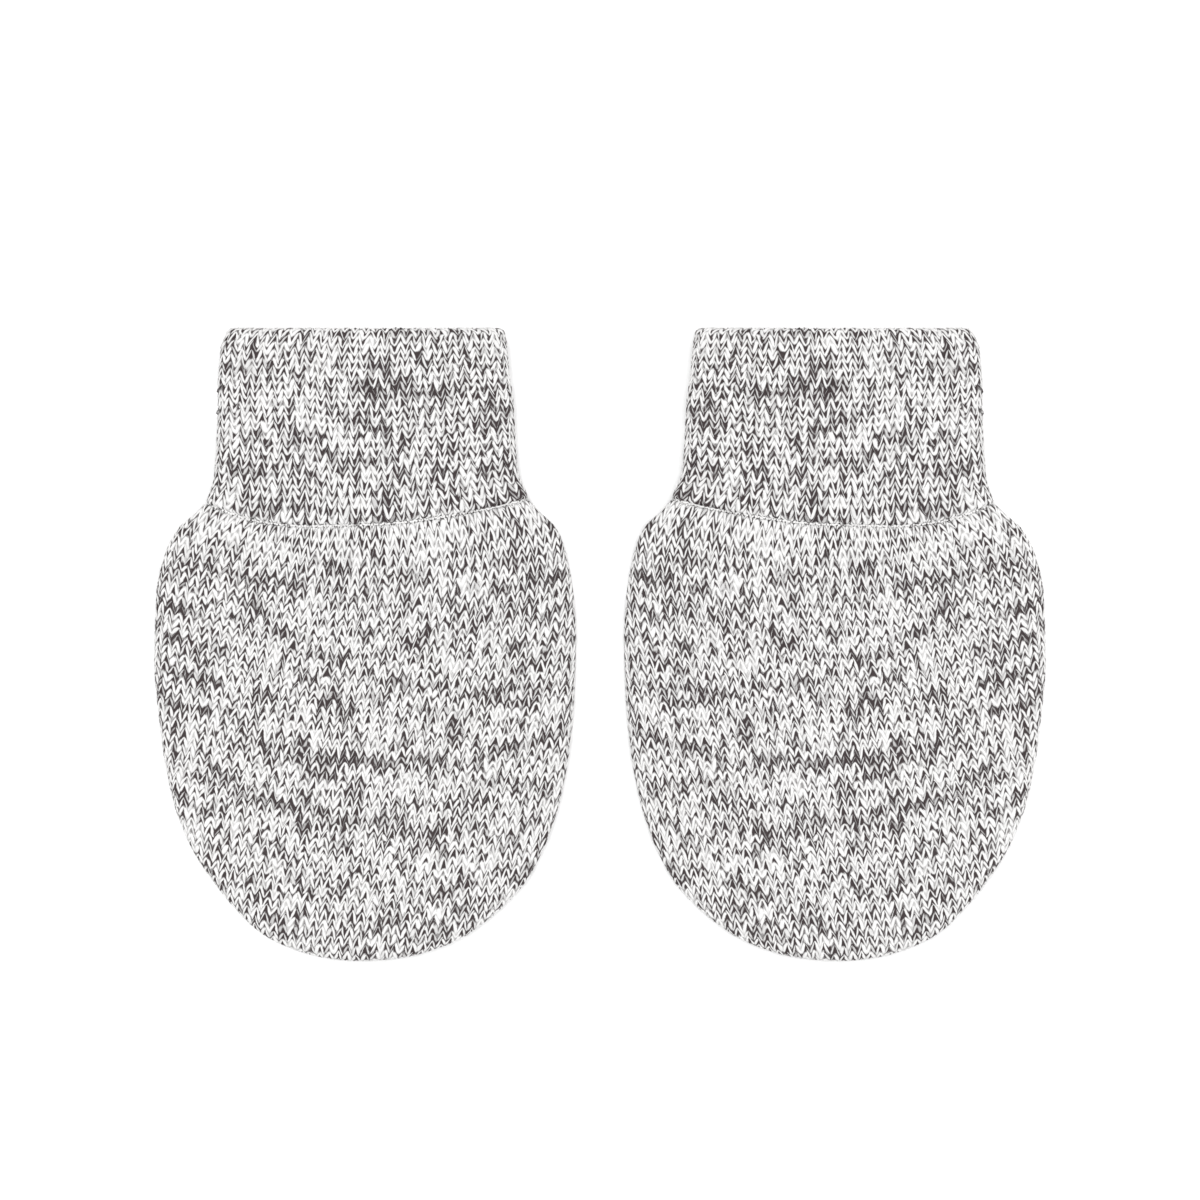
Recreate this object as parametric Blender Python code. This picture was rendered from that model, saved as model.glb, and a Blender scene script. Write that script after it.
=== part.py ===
"""Pair of heather jersey baby mittens with no thumb, laid flat side by side.

Each mitten is sewn from three pieces of knitted cloth: a front and a back hand panel, joined round the
sides and the fingertips, and a cuff, a band folded double at the wrist opening and joined in a ring.
The right mitten is the left one mirrored.

Frame: metres, +Z up, the mittens rest on Z = 0. X runs across the pair, the left mitten at -X. The cuffs
point to +Y and the fingertips to -Y. The origin is under the middle of the pair.
"""

import math
from typing import NamedTuple

import bmesh
import bpy
import numpy as np

MM = 0.001

# ------------------------------------------------------------------ driving dimensions, in millimetres
LENGTH = 120.0            # wrist fold to fingertips
CENTRE_TO_CENTRE = 89.0   # between the two mittens' centre lines
SEAM_GAP = 0.3            # clear space between two pieces at a seam

LAYER = 1.3               # one layer of the jersey
CUFF_WALL = 2.5           # the folded band, two layers
CUFF_SLOT = 0.5           # flat hollow between the cuff's front and back walls
CUFF_LIP = 1.3            # how far the wrist fold rounds past the straight of the cuff
CUFF_DROP_FROM = 0.72     # share of the cuff's length where its walls start to settle towards the seam
CUFF_SEAM_FRONT = 2.6     # front wall at the seam
SEAM_SLANT = 1.25         # the cuff is trimmed straight up, so a slanting seam takes a little more
CUFF_SEAM_ROUND = 0.9     # how far in the cuff rounds over at the seam

FRONT_INSIDE = LAYER + SEAM_GAP   # height of the front panel's inner face
FRONT_TOP = FRONT_INSIDE + LAYER  # height of the front panel where it is one layer thick
SIDE_ROUND = 2.4          # how far in the front panel rounds over at the sides and fingertips
SIDE_DROP = 1.6           # and how much it drops there
SEAM_ROUND = 1.5          # the same along the cuff seam
SEAM_DROP = 0.9
BACK_ROUND = 1.4          # how far in the back panel's lower rim rounds up
BACK_LIFT = 1.05          # and how high it lifts at the edge

HEART_DOWN = 74.2         # the hand's middle, down from the wrist fold, which all its rings shrink towards

# ------------------------------------------------------------------ how finely the cloth is faceted
SEAM_POINTS = 18          # along the cuff seam of a hand panel
SIDE_POINTS = 54          # round the sides and fingertips of a hand panel
CUFF_SIDE_POINTS = 6      # round each folded side of the cuff
CUFF_FLAT_POINTS = 17     # across the flat of the cuff, front and back each
CUFF_RINGS = 8            # along the cuff
LIP_RINGS = 4             # over the wrist fold
SPLINE_STEPS = 24         # fine steps between two rows of an outline table

KNIT_COLOUR = (0.51, 0.50, 0.495, 1.0)
KNIT_ROUGHNESS = 0.95


class Section(NamedTuple):
    """How far one mitten reaches from its centre line, at a distance down from the wrist fold."""

    down: float
    outer: float  # towards the outside of the pair
    inner: float  # towards the other mitten


class SeamPoint(NamedTuple):
    """A point of the cuff seam: across from the centre line, towards the other mitten is positive."""

    across: float
    down: float


class Ridge(NamedTuple):
    """Height of the front panel over the turned-in seam allowance, before its edge rounds over."""

    inset: float  # distance in from the edge
    side: float   # inside the sides and the fingertips
    seam: float   # below the cuff seam


CUFF_SECTIONS = (
    Section(down=0.0, outer=25.7, inner=26.5),
    Section(down=3.2, outer=27.3, inner=27.1),
    Section(down=8.9, outer=27.9, inner=27.6),
    Section(down=14.6, outer=28.0, inner=28.3),
    Section(down=22.1, outer=28.3, inner=28.7),
    Section(down=27.8, outer=28.7, inner=29.2),
    Section(down=33.0, outer=30.3, inner=31.2),
)

HAND_SECTIONS = (
    Section(down=35.4, outer=32.7, inner=33.8),
    Section(down=37.3, outer=35.1, inner=35.9),
    Section(down=41.1, outer=37.4, inner=37.7),
    Section(down=46.8, outer=39.2, inner=39.0),
    Section(down=55.0, outer=39.9, inner=39.9),
    Section(down=64.0, outer=40.1, inner=39.9),
    Section(down=73.0, outer=39.3, inner=39.5),
    Section(down=82.0, outer=38.1, inner=38.5),
    Section(down=91.0, outer=36.1, inner=36.6),
    Section(down=99.0, outer=32.8, inner=33.7),
    Section(down=105.5, outer=28.5, inner=30.1),
    Section(down=110.6, outer=24.3, inner=25.2),
    Section(down=115.0, outer=19.4, inner=19.4),
    Section(down=118.4, outer=12.0, inner=11.5),
)

CUFF_SEAM = (
    SeamPoint(across=-30.4, down=33.1),
    SeamPoint(across=-27.0, down=34.5),
    SeamPoint(across=-22.0, down=36.2),
    SeamPoint(across=-15.5, down=37.3),
    SeamPoint(across=-4.0, down=37.4),
    SeamPoint(across=6.5, down=36.9),
    SeamPoint(across=16.5, down=35.5),
    SeamPoint(across=24.0, down=34.1),
    SeamPoint(across=31.1, down=32.4),
)

ALLOWANCE_RIDGE = (
    Ridge(inset=0.0, side=3.5, seam=4.2),
    Ridge(inset=3.4, side=3.5, seam=4.15),
    Ridge(inset=5.4, side=3.3, seam=3.8),
    Ridge(inset=8.0, side=3.0, seam=3.3),
    Ridge(inset=12.0, side=FRONT_TOP, seam=FRONT_TOP),
)

FRONT_INSETS = (12.0, 8.0, 5.4, 3.4, 1.8, 0.9, 0.3, 0.0)
BACK_INSETS = (1.4, 0.7, 0.25, 0.0)


# ------------------------------------------------------------------ curves
def smooth_path(points: np.ndarray) -> np.ndarray:
    """A smooth curve through the points: a cubic between each two, its slope set by their neighbours."""
    chord = np.linalg.norm(np.diff(points, axis=0), axis=1)
    at = np.concatenate([[0.0], np.cumsum(chord)])
    slope = np.gradient(points, at, axis=0)
    stretch = []
    for k, step in enumerate(chord):
        t = np.linspace(0.0, 1.0, SPLINE_STEPS, endpoint=False)[:, None]
        stretch.append(
            (2 * t**3 - 3 * t**2 + 1) * points[k]
            + (t**3 - 2 * t**2 + t) * step * slope[k]
            + (3 * t**2 - 2 * t**3) * points[k + 1]
            + (t**3 - t**2) * step * slope[k + 1]
        )
    return np.vstack([*stretch, points[-1:]])


def evenly(path: np.ndarray, count: int) -> np.ndarray:
    """Points at equal distances along the path, both ends included."""
    run = np.concatenate([[0.0], np.cumsum(np.linalg.norm(np.diff(path, axis=0), axis=1))])
    at = np.linspace(0.0, run[-1], count)
    return np.column_stack([np.interp(at, run, path[:, axis]) for axis in (0, 1)])


def seam_path() -> np.ndarray:
    """The cuff seam from the outer side to the inner side, as (across, down)."""
    return smooth_path(np.array(CUFF_SEAM))


def side_path() -> np.ndarray:
    """The hand's edge from the seam's inner end, round the fingertips, to the seam's outer end."""
    inner = [(row.inner, row.down) for row in HAND_SECTIONS]
    outer = [(-row.outer, row.down) for row in reversed(HAND_SECTIONS)]
    ends = CUFF_SEAM[-1], CUFF_SEAM[0]
    return smooth_path(np.array([ends[0], *inner, (0.3, LENGTH), *outer, ends[1]]))


def seam_down(across: np.ndarray) -> np.ndarray:
    """How far down the cuff seam lies at each distance across."""
    path = seam_path()
    return np.interp(across, path[:, 0], path[:, 1])


def cuff_reach(down: float) -> tuple[float, float]:
    """The cuff's outer and inner reach at a distance down from the wrist fold."""
    table = np.array(CUFF_SECTIONS)
    return tuple(float(np.interp(down, table[:, 0], table[:, column])) for column in (1, 2))


def ease(x: float) -> float:
    """A soft step from 0 to 1."""
    x = min(max(x, 0.0), 1.0)
    return x * x * (3.0 - 2.0 * x)


def distance_to(path: np.ndarray, points: np.ndarray) -> np.ndarray:
    """Shortest distance from each point to the path."""
    start, step = path[:-1], np.diff(path, axis=0)
    offset = points[:, None, :] - start[None, :, :]
    share = np.clip((offset * step).sum(axis=2) / (step**2).sum(axis=1), 0.0, 1.0)
    return np.linalg.norm(offset - share[:, :, None] * step, axis=2).min(axis=1)


def rounding(distance: np.ndarray, width: float, drop: float) -> np.ndarray:
    """How much a surface drops near its edge: a quarter ellipse of the width and the drop."""
    reach = np.clip(1.0 - distance / width, 0.0, 1.0)
    return drop * (1.0 - np.sqrt(1.0 - reach**2))


# ------------------------------------------------------------------ the hand panels
class PanelOutline:
    """A hand panel's closed outline, and how its rings shrink towards the hand's middle."""

    def __init__(self) -> None:
        self.seam = seam_path()
        self.side = side_path()
        points = np.vstack([evenly(self.seam, SEAM_POINTS + 1)[:-1], evenly(self.side, SIDE_POINTS + 1)[:-1]])
        along = np.roll(points, -1, axis=0) - np.roll(points, 1, axis=0)
        normal = np.column_stack([along[:, 1], -along[:, 0]])
        normal /= np.linalg.norm(normal, axis=1)[:, None]
        self.heart = np.array([0.0, HEART_DOWN])
        self.spoke = points - self.heart
        self.depth = np.abs((self.spoke * normal).sum(axis=1))
        self.trim = np.where(np.arange(len(points)) <= SEAM_POINTS, SEAM_GAP / 2, 0.0)

    def ring(self, inset: float) -> np.ndarray:
        """The outline moved inwards along its spokes by a distance, trimmed clear of the cuff seam."""
        return self.heart + self.spoke * (1.0 - (inset + self.trim) / self.depth)[:, None]

    def front_height(self, ring: np.ndarray) -> np.ndarray:
        """The front face: the higher of the two allowance ridges, less the deeper of the two roundings."""
        to_side, to_seam = distance_to(self.side, ring), distance_to(self.seam, ring)
        inset, side, seam = np.array(ALLOWANCE_RIDGE).T
        ridge = np.maximum(np.interp(to_side, inset, side), np.interp(to_seam, inset, seam))
        side_drop = rounding(to_side, SIDE_ROUND, SIDE_DROP)
        return ridge - np.maximum(side_drop, rounding(to_seam, SEAM_ROUND, SEAM_DROP))

    def back_height(self, ring: np.ndarray) -> np.ndarray:
        """The back face, which rests on the surface inside its rounded rim."""
        to_edge = np.minimum(distance_to(self.side, ring), distance_to(self.seam, ring))
        return rounding(to_edge, BACK_ROUND, BACK_LIFT)


def front_panel_rings() -> list[np.ndarray]:
    """Rings (across, down, height) over the front face and round to the flat inner face."""
    outline = PanelOutline()
    rings = [outline.ring(inset) for inset in FRONT_INSETS]
    stack = [np.column_stack([ring, outline.front_height(ring)]) for ring in rings]
    return stack + [np.column_stack([rings[-1], np.full(len(rings[-1]), FRONT_INSIDE)])]


def back_panel_rings() -> list[np.ndarray]:
    """Rings (across, down, height) from the flat lower face round its rim to the flat inner face."""
    outline = PanelOutline()
    rings = [outline.ring(inset) for inset in BACK_INSETS]
    stack = [np.column_stack([ring, outline.back_height(ring)]) for ring in rings]
    return stack + [np.column_stack([rings[-1], np.full(len(rings[-1]), LAYER)])]


# ------------------------------------------------------------------ the cuff
def cuff_section(outer: float, inner: float, low: float, high: float) -> np.ndarray:
    """One flattened tube as (across, height): two half rounds joined by a flat front and a flat back."""
    radius = (high - low) / 2
    middle = (high + low) / 2
    turn = np.linspace(-math.pi / 2, math.pi / 2, CUFF_SIDE_POINTS + 1)
    flat = np.linspace(-outer + radius, inner - radius, CUFF_FLAT_POINTS + 1)[1:-1]
    inner_side = np.column_stack([inner - radius + radius * np.cos(turn), middle + radius * np.sin(turn)])
    front = np.column_stack([flat[::-1], np.full(len(flat), high)])
    outer_side = np.column_stack([-outer + radius - radius * np.cos(turn), middle - radius * np.sin(turn)])
    back = np.column_stack([flat, np.full(len(flat), low)])
    return np.vstack([inner_side, front, outer_side, back])


def cuff_loops(share: float, trim: float) -> tuple[np.ndarray, np.ndarray]:
    """The cuff's outer and inner loop at a share of its length: 0 at the wrist fold, 1 at the seam.

    Each loop is (across, down, height). The walls thin and settle towards the seam.
    """
    settle = ease((share - CUFF_DROP_FROM) / (1.0 - CUFF_DROP_FROM))
    back_wall = CUFF_WALL + (LAYER - CUFF_WALL) * settle
    front_wall = CUFF_WALL + (CUFF_SEAM_FRONT - CUFF_WALL) * settle
    slot = CUFF_SLOT + (SEAM_GAP - CUFF_SLOT) * settle
    outer, inner = cuff_reach(CUFF_LIP + share * (CUFF_SECTIONS[-1].down - CUFF_LIP))
    loops = []
    for inset, low, high in ((0.0, 0.0, back_wall + slot + front_wall), (CUFF_WALL, back_wall, back_wall + slot)):
        section = cuff_section(outer - inset, inner - inset, low, high)
        bottom = seam_down(section[:, 0]) - trim
        down = CUFF_LIP + share * (bottom - CUFF_LIP)
        loops.append(np.column_stack([section[:, 0], down, section[:, 1]]))
    return loops[0], loops[1]


def cuff_rings() -> list[np.ndarray]:
    """Rings from the seam up the outside, over the wrist fold and down the inside to the seam."""
    trim = SEAM_GAP / 2 * SEAM_SLANT
    outside, inside = [], []
    for share in np.linspace(1.0, 0.0, CUFF_RINGS):
        outer_loop, inner_loop = cuff_loops(share, trim)
        outside.append(outer_loop)
        inside.append(inner_loop)
    seam_outside, seam_inside = outside[0], inside[0]
    rounded = seam_outside + (seam_inside - seam_outside) * (CUFF_SEAM_ROUND / CUFF_WALL)
    shoulder, _ = cuff_loops(1.0 - CUFF_SEAM_ROUND / CUFF_SECTIONS[-1].down, trim)
    outside[0] = shoulder
    lip = []
    for angle in np.linspace(0.0, math.pi, LIP_RINGS + 2)[1:-1]:
        ring = outside[-1] + (inside[-1] - outside[-1]) * (1.0 - math.cos(angle)) / 2
        ring[:, 1] -= CUFF_LIP * math.sin(angle)
        lip.append(ring)
    return [rounded, *outside, *lip, *reversed(inside)]


# ------------------------------------------------------------------ from rings to objects
def add_piece(name: str, rings: list[np.ndarray], side: int, tube: bool, home: bpy.types.Collection) -> None:
    """Lofts rings of (across, down, height) into one closed solid and links it as an object.

    side is -1 for the left mitten and 1 for the right one. A tube's last ring joins its first,
    any other stack of rings is closed with a flat face at each end.
    """
    bm = bmesh.new()
    rows = []
    for ring in rings:
        x = side * (CENTRE_TO_CENTRE / 2 - ring[:, 0]) * MM
        y = (LENGTH / 2 - ring[:, 1]) * MM
        rows.append([bm.verts.new(point) for point in zip(x, y, ring[:, 2] * MM)])
    pairs = list(zip(rows, rows[1:]))
    if tube:
        pairs.append((rows[-1], rows[0]))
    else:
        bm.faces.new(rows[0])
        bm.faces.new(rows[-1])
    for first, second in pairs:
        for k in range(len(first)):
            bm.faces.new((first[k - 1], first[k], second[k], second[k - 1]))
    bmesh.ops.recalc_face_normals(bm, faces=bm.faces)
    mesh = bpy.data.meshes.new(name)
    bm.to_mesh(mesh)
    bm.free()
    mesh.shade_smooth()
    mesh.set_sharp_from_angle(angle=math.radians(50))
    mesh.materials.append(knit_material(name))
    home.objects.link(bpy.data.objects.new(name, mesh))


def knit_material(name: str) -> bpy.types.Material:
    """The piece's own plain heather cloth."""
    material = bpy.data.materials.new(name + "_knit")
    material.use_nodes = True
    shader = material.node_tree.nodes["Principled BSDF"]
    shader.inputs["Base Color"].default_value = KNIT_COLOUR
    shader.inputs["Roughness"].default_value = KNIT_ROUGHNESS
    shader.inputs["Metallic"].default_value = 0.0
    return material


def main() -> None:
    """Clears the scene and builds both mittens."""
    for old in list(bpy.data.objects):
        bpy.data.objects.remove(old, do_unlink=True)
    home = bpy.data.collections.new("baby_mittens")
    bpy.context.scene.collection.children.link(home)
    for word, side in (("left", -1), ("right", 1)):
        add_piece(word + "_back_panel", back_panel_rings(), side, False, home)
        add_piece(word + "_front_panel", front_panel_rings(), side, False, home)
        add_piece(word + "_cuff", cuff_rings(), side, True, home)


main()
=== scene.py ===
"""Pair of heather jersey baby mittens laid flat: the knitted cloth of every piece, stitch by stitch.

Each cloth is a grid whose columns run along the wales and whose rows run along the legs of the stitches.
Lengths are in millimetres in one mitten's own plan, across from its centre line and down from the wrist
fold, until a mesh is made in metres.
"""

from __future__ import annotations

import logging
import math
from dataclasses import dataclass
from enum import Enum, IntEnum
from functools import partialmethod
from typing import Callable, NamedTuple

import bmesh
import bpy
import numpy as np
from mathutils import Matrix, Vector

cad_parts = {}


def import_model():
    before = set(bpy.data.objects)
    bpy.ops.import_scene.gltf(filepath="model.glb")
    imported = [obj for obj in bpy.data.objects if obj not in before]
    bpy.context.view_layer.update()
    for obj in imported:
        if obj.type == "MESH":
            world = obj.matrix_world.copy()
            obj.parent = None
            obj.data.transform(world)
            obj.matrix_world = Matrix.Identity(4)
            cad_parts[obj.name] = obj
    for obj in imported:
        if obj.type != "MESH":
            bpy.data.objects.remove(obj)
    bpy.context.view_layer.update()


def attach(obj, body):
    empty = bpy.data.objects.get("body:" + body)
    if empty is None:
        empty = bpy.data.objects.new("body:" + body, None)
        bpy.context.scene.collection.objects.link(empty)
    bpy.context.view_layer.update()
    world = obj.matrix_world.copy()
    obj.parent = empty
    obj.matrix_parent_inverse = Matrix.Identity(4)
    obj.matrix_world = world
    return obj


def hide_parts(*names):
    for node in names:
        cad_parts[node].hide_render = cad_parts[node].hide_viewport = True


log = logging.getLogger("mittens")

MM = 0.001
Array = np.ndarray
Pair = tuple[Array, Array]


class Side(Enum):
    """Which mitten of the pair: the sign is the side of X it lies on."""

    LEFT = -1
    RIGHT = 1

    def named(self, rest: str) -> str:
        """A name with the side's word before it."""
        return f"{self.name.lower()}_{rest}"


class Vee(Enum):
    """Where the two legs of a stitch meet: at its lower end or at its upper end."""

    MEETS_BELOW = 1
    MEETS_ABOVE = -1


class Seed(IntEnum):
    """The number that picks each random draw, or the first of a few."""

    HAND_JITTER = 11
    HAND_SWAY = 13
    HAND_STRAY = 15
    CUFF_JITTER = 21
    CUFF_STRAY = 22
    HAND_WAVE = 31
    PUCKER = 32
    THREAD = 41
    FRONT = 101
    BACK = 202
    CUFF = 303
    CUFF_WAVE = 310


class Section(NamedTuple):
    """How far one mitten reaches from its centre line, at a distance down from the wrist fold."""

    down: float
    outer: float
    inner: float


class SeamPoint(NamedTuple):
    """A point of the cuff seam, across (positive towards the other mitten) and down."""

    across: float
    down: float


class Ridge(NamedTuple):
    """Height of the front panel over the turned-in seam allowance, before its edge rounds over."""

    inset: float
    side: float
    seam: float


class Streak(NamedTuple):
    """A darker stretch of the heather yarn, which runs along a course, or a lighter one below zero."""

    across: float
    down: float
    half_length: float
    strength: float

    def on_course(self, across: Array, down: Array) -> Streak:
        """The streak moved up or down to the nearest of the legs whose places are given."""
        away = np.hypot(across - self.across, 3 * (down - self.down))
        return self._replace(down=float(down.flat[away.argmin()]))


CUFF_SECTIONS = tuple(Section(*row) for row in (
    (0.0, 25.7, 26.5), (3.2, 27.3, 27.1), (8.9, 27.9, 27.6), (14.6, 28.0, 28.3), (22.1, 28.3, 28.7),
    (27.8, 28.7, 29.2), (33.0, 30.3, 31.2),
))

HAND_SECTIONS = tuple(Section(*row) for row in (
    (35.4, 32.7, 33.8), (37.3, 35.1, 35.9), (41.1, 37.4, 37.7), (46.8, 39.2, 39.0), (55.0, 39.9, 39.9),
    (64.0, 40.1, 39.9), (73.0, 39.3, 39.5), (82.0, 38.1, 38.5), (91.0, 36.1, 36.6), (99.0, 32.8, 33.7),
    (105.5, 28.5, 30.1), (110.6, 24.3, 25.2), (115.0, 19.4, 19.4), (118.4, 12.0, 11.5),
))

CUFF_SEAM = tuple(SeamPoint(*row) for row in (
    (-30.4, 33.1), (-27.0, 34.5), (-22.0, 36.2), (-15.5, 37.3), (-4.0, 37.4), (6.5, 36.9), (16.5, 35.5),
    (24.0, 34.1), (31.1, 32.4),
))

ALLOWANCE_RIDGE = tuple(Ridge(*row) for row in (
    (0.0, 3.5, 4.2), (3.4, 3.5, 4.15), (5.4, 3.3, 3.8), (8.0, 3.0, 3.3), (12.0, 2.9, 2.9),
))

CUFF_STREAKS = tuple(Streak(*row) for row in (
    (8, 1, 6, 0.5), (-4.8, 1.2, 1.4, 0.1), (18, 1.5, 1.6, 0.4), (-20.5, 3.2, 1.2, 0.5),
    (-15.5, 5.4, 1.2, 0.9), (-5.6, 6.3, 1.4, 0.7), (10.5, 6.4, 2, 0.6), (-18.5, 6.5, 1.6, 0.7),
    (3.6, 6.9, 1.9, 1.2), (-23, 8.2, 3.4, 0.9), (3.4, 8.4, 1.4, 0.6), (0.2, 9.2, 1.4, 1),
    (6.8, 9.8, 2.2, 1), (1.5, 11.2, 3, 0.5), (-27, 11.5, 1.4, 0.8), (4, 11.6, 4.5, 0.7), (11, 12.3, 6, 1.1),
    (24.5, 12.8, 3, 0.5), (1, 13.2, 2.4, 0.8), (22.8, 14.2, 1.8, 0.4), (26, 15.6, 2.4, 0.9),
    (13.5, 15.8, 2.2, 0.4), (22, 16.8, 1.8, 0.8), (-0.2, 17.6, 1.8, 1.7), (24.6, 18.6, 3, 0.9),
    (3, 19, 1.8, 1), (-10, 20.2, 4, 0.8), (-24.5, 21.2, 3, 0.5), (-14.3, 21.9, 1.8, 0.9),
    (-6, 22.8, 2.2, 0.3), (-7, 24, 5, 0.5), (0.2, 25, 1.8, 1.7), (23, 25, 3, 0.4), (13.8, 26.6, 2, 0.2),
    (-25, 27, 3.6, 0.8), (-20, 27.4, 2.6, 0.8), (23.5, 27.8, 3.4, 0.3), (7.6, 28, 1.6, 1.3),
    (-10, 30, 1.8, 0.5), (-20, 31.5, 3, 0.2), (29, 31.8, 1.8, 1.2), (3.6, 32.4, 2.2, 1), (29.3, 33, 2, 1),
    (24.5, 33.7, 3, 1.1), (-14, 34.8, 6, 0.5), (-21, 35, 2, 0.4), (3.5, 35.8, 3, 0.8), (-7, 3.2, 5, -0.6),
    (5, 3.4, 4, -0.4), (-15.5, 12, 4.5, -0.6), (9.5, 14.4, 2.6, -0.5), (-14, 14.5, 4, -0.4),
    (-6.5, 14.8, 2.2, -0.5), (3, 14.8, 3, -0.5), (8, 17.5, 3, -0.3), (-24, 17.6, 3, -0.4),
    (16.5, 22.7, 1.5, -0.5), (16, 28.5, 2.5, -0.4), (-22.5, 31.3, 1.5, -0.5), (16.5, 32, 2, -0.4),
    (-17.5, 33.2, 2.2, -0.6),
))

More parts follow.
